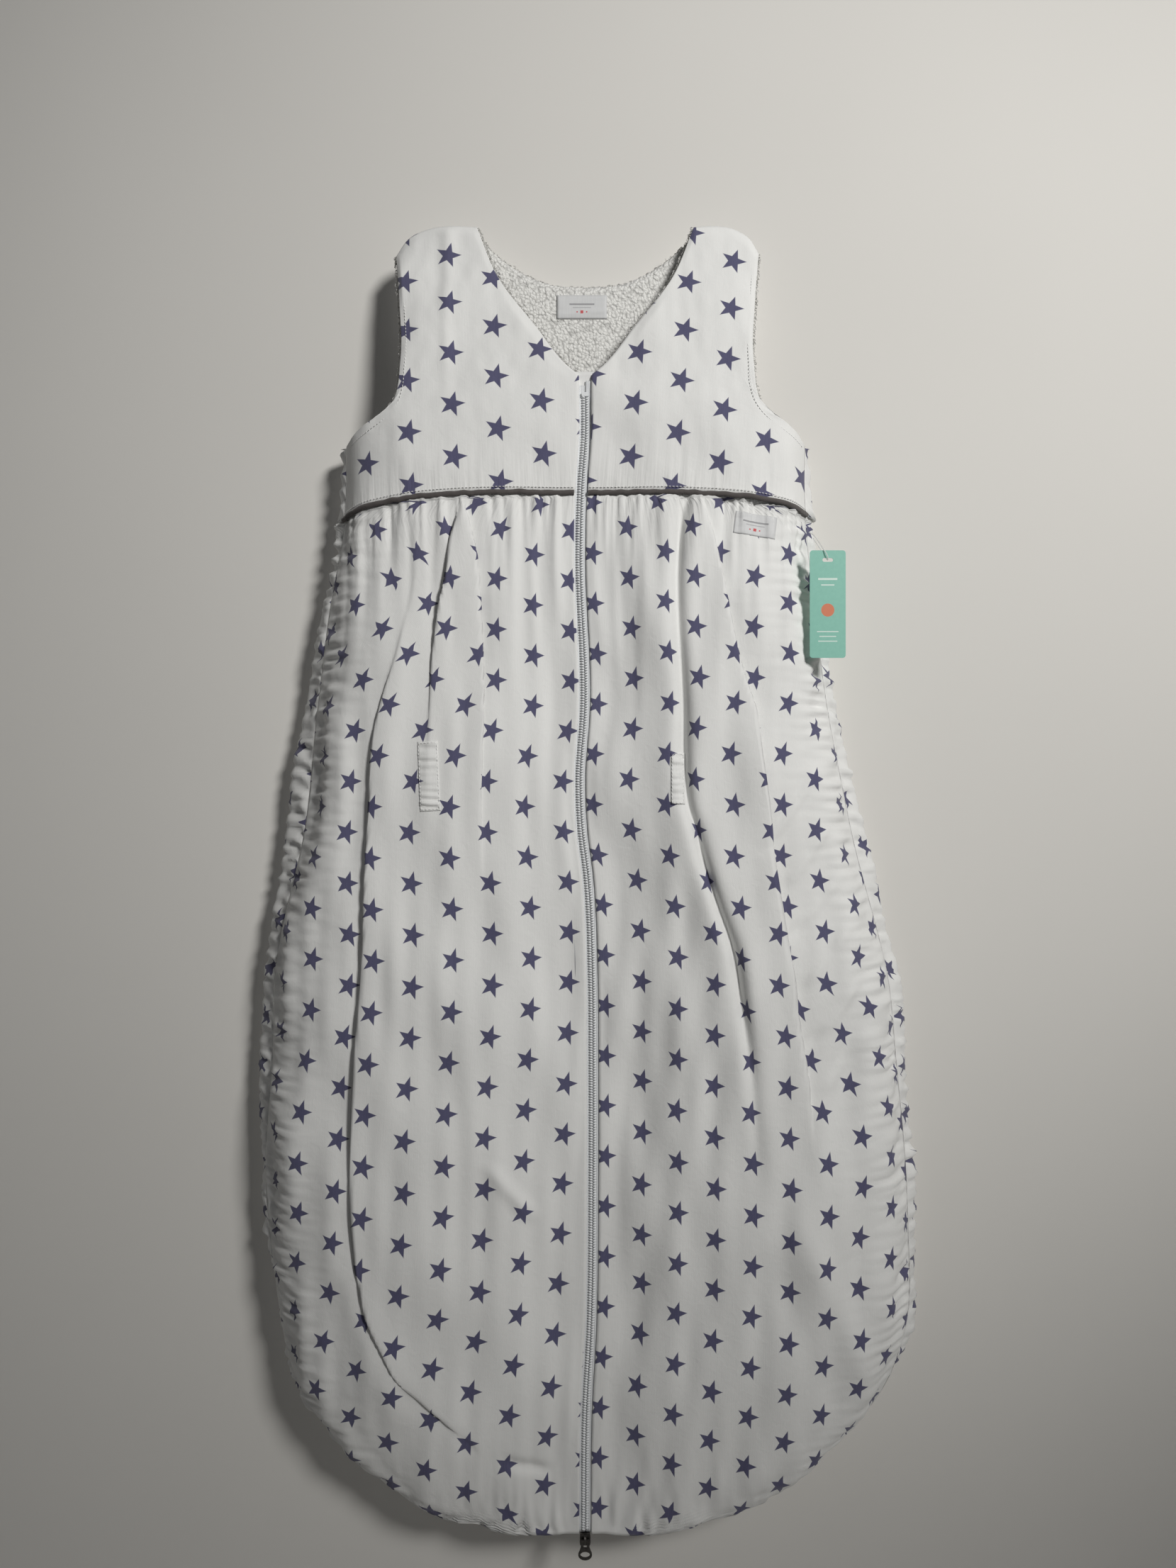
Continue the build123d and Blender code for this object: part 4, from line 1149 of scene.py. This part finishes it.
for side, word in ((-1, "left"), (1, "right")):
    line = front_seam_line(side, 0.0, 0.9 * MM)
    line[:, 2] += 0.25 * MM * ripples(line[:, 0], line[:, 0] * 0, 16 * MM, 1, 401)
    piece = tube_along(f"piping_{word}", line, PIPING_R, piping_cotton, sides=12)
    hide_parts(f"piping_front_{word}")
    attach(piece, "root")

# ---------------------------------------------------------------- the topstitching
# White thread in short stitches, just above the piping and along the armholes.
STITCH_LONG, STITCH_THICK, STITCH_STEP = 2.3 * MM, 0.34 * MM, 3.0 * MM
thread_white, tree, shader = new_material("thread_white", 0.6)
place = add_node(tree, "ShaderNodeTexCoord").outputs["Object"]
ply = add_node(tree, "ShaderNodeTexNoise", Vector=place, Scale=1800.0, Detail=1.0).outputs["Fac"]
wire(tree, mix_colours(tree, ply, (0.72, 0.72, 0.71, 1), (0.88, 0.88, 0.87, 1)), shader.inputs["Base Color"])


def stitches_along(name, lines):
    one = bmesh.new()
    bmesh.ops.create_uvsphere(one, u_segments=6, v_segments=4, radius=1.0)
    bmesh.ops.transform(one, matrix=Matrix.Diagonal((STITCH_THICK, STITCH_THICK, STITCH_LONG / 2, 1)), verts=one.verts[:])
    matrices = []
    for line in lines:
        even = evenly(line, STITCH_STEP)
        for a, b in zip(even[:-1], even[1:]):
            matrices.append(Matrix.Translation(Vector((a + b) / 2)) @ (Vector(b - a).to_track_quat("Z", "Y")).to_matrix().to_4x4())
    piece = finished_piece(name, copies_of(one, matrices), [thread_white])
    one.free()
    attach(piece, "root")


for side, word in ((-1, "left"), (1, "right")):
    stitches_along(f"topstitch_yoke_{word}", [front_seam_line(side, 4.6 * MM, 1.3 * MM)])
    arm = beside(armhole(side, 160), -4.5 * MM)
    stitches_along(f"topstitch_armhole_{word}", [line_on_body(front_row, side, arm[:-8], -1.3 * MM)])

# ------------------------------------------------- the two harness slots, and labels
# Small rectangles of the same cloth over the closed harness slots, stitched down all
# round, and two woven labels: one on the skirt's front, one inside the back neck.
def sewn_patch(name, places, cloth, middle, size, turn, material, puckers, thick=1.1 * MM, columns=22, rows=40):
    """A small piece of cloth that lies on the finished cloth below it."""
    tree = kdtree.KDTree(places.shape[0] * places.shape[1])
    flat, flat_cloth = places.reshape(-1, 3), cloth.reshape(-1, 2)
    for i, at in enumerate(flat):
        tree.insert((at[0], 0, at[2]), i)
    tree.balance()
    across, up = np.meshgrid(np.linspace(-0.5, 0.5, columns), np.linspace(-0.5, 0.5, rows))
    own = np.stack([across * size[0] * MM, up * size[1] * MM], -1)
    dx, dz = turned(own[..., 0], own[..., 1], turn)
    top, under, print_at = (np.zeros((rows, columns, n)) for n in (3, 3, 2))
    edge = np.minimum((0.5 - np.abs(across)) * size[0], (0.5 - np.abs(up)) * size[1]) * MM
    swell = np.clip(edge / (1.5 * MM), 0, 1)
    for r in range(rows):
        for c in range(columns):
            x, z = middle[0] * MM + dx[r, c], middle[1] * MM + dz[r, c]
            near = tree.find_n((x, 0, z), 4)
            share = np.array([1 / (n[2] + 0.1 * MM) for n in near])
            share /= share.sum()
            y = sum(w * flat[n[1]][1] for w, n in zip(share, near))
            print_at[r, c] = sum(w * flat_cloth[n[1]] for w, n in zip(share, near))
            top[r, c] = (x, y - 0.35 * MM - thick * 0.6 * swell[r, c], z)
            under[r, c] = (x, y + 0.3 * MM, z)
    wave = puckers * ripples(top[..., 0], top[..., 2], 60 * MM, 7 * MM, 501 + columns)
    top[..., 1] -= wave * swell
    piece = finished_piece(name, sheet_of(columns, rows, top, print_at if material is star_cotton else own, under),
                           [material])
    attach(piece, "root")
    outline = [(-1, -1), (1, -1), (1, 1), (-1, 1), (-1, -1)]
    line = []
    for (a, b), (c, d) in zip(outline, outline[1:]):
        for t in np.linspace(0, 1, 24, endpoint=False):
            at = ((a + (c - a) * t) * 0.5, (b + (d - b) * t) * 0.5)
            column = round((at[0] * (1 - 2.2 / size[0]) + 0.5) * (columns - 1))
            row = round((at[1] * (1 - 2.2 / size[1]) + 0.5) * (rows - 1))
            line.append(top[row, column] - (0, 0.25 * MM, 0))
    return piece, np.array(line + line[:1])


label_weave, tree, shader = new_material("label_weave", 0.42)
shader.inputs["Sheen Weight"].default_value = 0.3
cloth = add_node(tree, "ShaderNodeUVMap", {"uv_map": "cloth"}).outputs["UV"]
yarn = use_group(tree, weave, Cloth=cloth, Yarn=0.4 * MM)
satin = mix_colours(tree, yarn.outputs["Slub"], (0.56, 0.57, 0.58, 1), (0.72, 0.72, 0.72, 1))
at = add_node(tree, "ShaderNodeSeparateXYZ", Vector=cloth)
for middle_u, middle_v, half_u, half_v, colour in (
    (0, 2.2, 11, 0.7, (0.30, 0.30, 0.31, 1)), (0, -0.6, 8, 0.45, (0.45, 0.45, 0.46, 1)),
    (0, -4.4, 1.3, 1.3, (0.55, 0.06, 0.07, 1)), (-4.2, -4.4, 0.6, 0.6, (0.55, 0.06, 0.07, 1)),
    (4.2, -4.4, 0.6, 0.6, (0.55, 0.06, 0.07, 1)),
):
    inside = sum_of(tree, "MULTIPLY", sum_of(tree, "COMPARE", at.outputs["X"], middle_u * MM, half_u * MM),
                    sum_of(tree, "COMPARE", at.outputs["Y"], middle_v * MM, half_v * MM))
    satin = mix_colours(tree, inside, satin, colour)
wire(tree, satin, shader.inputs["Base Color"])
bump = add_node(tree, "ShaderNodeBump", Height=sum_of(tree, "MULTIPLY", yarn.outputs["Height"], 0.05 * MM), Distance=1.0)
tree.links.new(bump.outputs["Normal"], shader.inputs["Normal"])

outlines = []
for name, word, side, middle, size, turn in (
    ("harness_patch_left", "left", -1, (-129.3, -461), (17, 58), 3),
    ("harness_patch_right", "right", 1, (77, -463), (12, 43), 0),
):
    front = skirt_fronts[word]
    piece, outline = sewn_patch(f"{name}_cloth", front, skirt_print(front, side), middle, size, turn, star_cotton,
                                0.45 * MM)
    set_gather(piece, seam_gather)
    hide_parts(name)
    outlines.append(outline)
stitches_along("topstitch_patches", outlines)

neck_row = lining_back(56, 220, LINING_IN + 0.6 * MM)
for name, places, middle, size, turn, below in (
    ("side_label", skirt_fronts["right"], (143, -250), (36, 19), -8, "skirt_front_right"),
    ("neck_label", neck_row, (-3, -47.5), (44, 20), 0, "terry_back_lining"),
):
    piece, outline = sewn_patch(f"{name}_cloth", places, places[..., (0, 2)], middle, size, turn, label_weave,
                                0.15 * MM, thick=0.5 * MM, columns=24, rows=16)
    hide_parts(name)

# ---------------------------------------------------------------- the hem tape
# A folded cotton tape inside the bottom edge, sewn through front and back together.
HEM_TAPE_SIZE, HEM_TAPE_AT = (136 * MM, 4.4 * MM, 4 * MM), (0, -22 * MM, -1098 * MM)
tape_cotton, tree, shader = new_material("hem_tape_cotton", 0.9)
place = add_node(tree, "ShaderNodeTexCoord").outputs["Object"]
yarn = use_group(tree, weave, Cloth=place, Yarn=0.9 * MM)
wire(tree, mix_colours(tree, yarn.outputs["Slub"], (0.68, 0.68, 0.66, 1), (0.80, 0.80, 0.78, 1)), shader.inputs["Base Color"])
bm = bmesh.new()
bmesh.ops.create_cube(bm, size=1.0, matrix=Matrix.Translation(HEM_TAPE_AT) @ Matrix.Diagonal((*HEM_TAPE_SIZE, 1)))
long_edges = [e for e in bm.edges if abs(e.verts[0].co.x - e.verts[1].co.x) > 0.1]
bmesh.ops.subdivide_edges(bm, edges=long_edges, cuts=60, use_grid_fill=True)
bmesh.ops.bevel(bm, geom=[e for e in bm.edges if e.calc_face_angle(0) > 1], offset=1.3 * MM, segments=3, profile=0.5,
                affect="EDGES", material=-1)
order = np.random.default_rng(601)
for vert in bm.verts:
    vert.co.y += 0.25 * MM * math.sin(vert.co.x / (5 * MM)) + order.normal(0, 0.03 * MM)
piece = finished_piece("hem_tape_strip", bm, [tape_cotton])
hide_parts("hem_tape")
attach(piece, "root")

# ---------------------------------------------------------------- metal and plastic
# The die-cast slider and its pull hang below the hem, and small stops end the chain.
dark_metal, tree, shader = new_material("dark_metal", 0.34, 1.0)
place = add_node(tree, "ShaderNodeTexCoord").outputs["Object"]
rub = add_node(tree, "ShaderNodeTexNoise", Vector=place, Scale=420.0, Detail=4.0).outputs["Fac"]
wire(tree, mix_colours(tree, rub, (0.055, 0.052, 0.05, 1), (0.20, 0.19, 0.18, 1)), shader.inputs["Base Color"])
wire(tree, sum_of(tree, "MULTIPLY_ADD", rub, 0.3, 0.2), shader.inputs["Roughness"])
stop_plastic, tree, shader = new_material("stop_plastic", 0.4)
place = add_node(tree, "ShaderNodeTexCoord").outputs["Object"]
cloud = add_node(tree, "ShaderNodeTexNoise", Vector=place, Scale=500.0, Detail=2.0).outputs["Fac"]
wire(tree, mix_colours(tree, cloud, (0.70, 0.72, 0.74, 1), (0.80, 0.81, 0.82, 1)), shader.inputs["Base Color"])
teal_card, tree, shader = new_material("teal_card", 0.5)
place = add_node(tree, "ShaderNodeTexCoord").outputs["Object"]
grain = add_node(tree, "ShaderNodeTexNoise", Vector=place, Scale=350.0, Detail=3.0).outputs["Fac"]
teal = mix_colours(tree, grain, (0.19, 0.47, 0.38, 1), (0.23, 0.53, 0.43, 1))
at = add_node(tree, "ShaderNodeSeparateXYZ", Vector=place)
for up, half_wide, half_high in ((-296, 8, 0.8), (-301, 5.5, 0.5), (-340, 9, 0.4), (-344, 7, 0.4), (-348, 8, 0.4)):
    inside = sum_of(tree, "MULTIPLY", sum_of(tree, "COMPARE", at.outputs["X"], 203 * MM, half_wide * MM),
                    sum_of(tree, "COMPARE", at.outputs["Z"], up * MM, half_high * MM))
    teal = mix_colours(tree, inside, teal, (0.66, 0.78, 0.72, 1))
off = [sum_of(tree, "SUBTRACT", at.outputs[axis], middle * MM) for axis, middle in (("X", 203), ("Z", -322))]
disc = sum_of(tree, "LESS_THAN", sum_of(tree, "ADD", *(sum_of(tree, "MULTIPLY", v, v) for v in off)), (5.5 * MM) ** 2)
teal = mix_colours(tree, disc, teal, (0.62, 0.17, 0.07, 1))
wire(tree, teal, shader.inputs["Base Color"])

clear_plastic, tree, shader = new_material("clear_loop", 0.25)
place = add_node(tree, "ShaderNodeTexCoord").outputs["Object"]
cloud = add_node(tree, "ShaderNodeTexNoise", Vector=place, Scale=300.0, Detail=2.0).outputs["Fac"]
wire(tree, mix_colours(tree, cloud, (0.80, 0.80, 0.79, 1), (0.88, 0.88, 0.87, 1)), shader.inputs["Base Color"])
wire(tree, sum_of(tree, "MULTIPLY_ADD", cloud, 0.1, 0.45), shader.inputs["Alpha"])

for node, material in (
    ("zipper_slider", dark_metal), ("zipper_pull", dark_metal), ("zipper_neck_stop", stop_plastic),
    ("zipper_hem_stops", stop_plastic), ("tag_card", teal_card), ("tag_loop", clear_plastic),
):
    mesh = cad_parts[node].data
    mesh.materials.clear()
    mesh.materials.append(material)
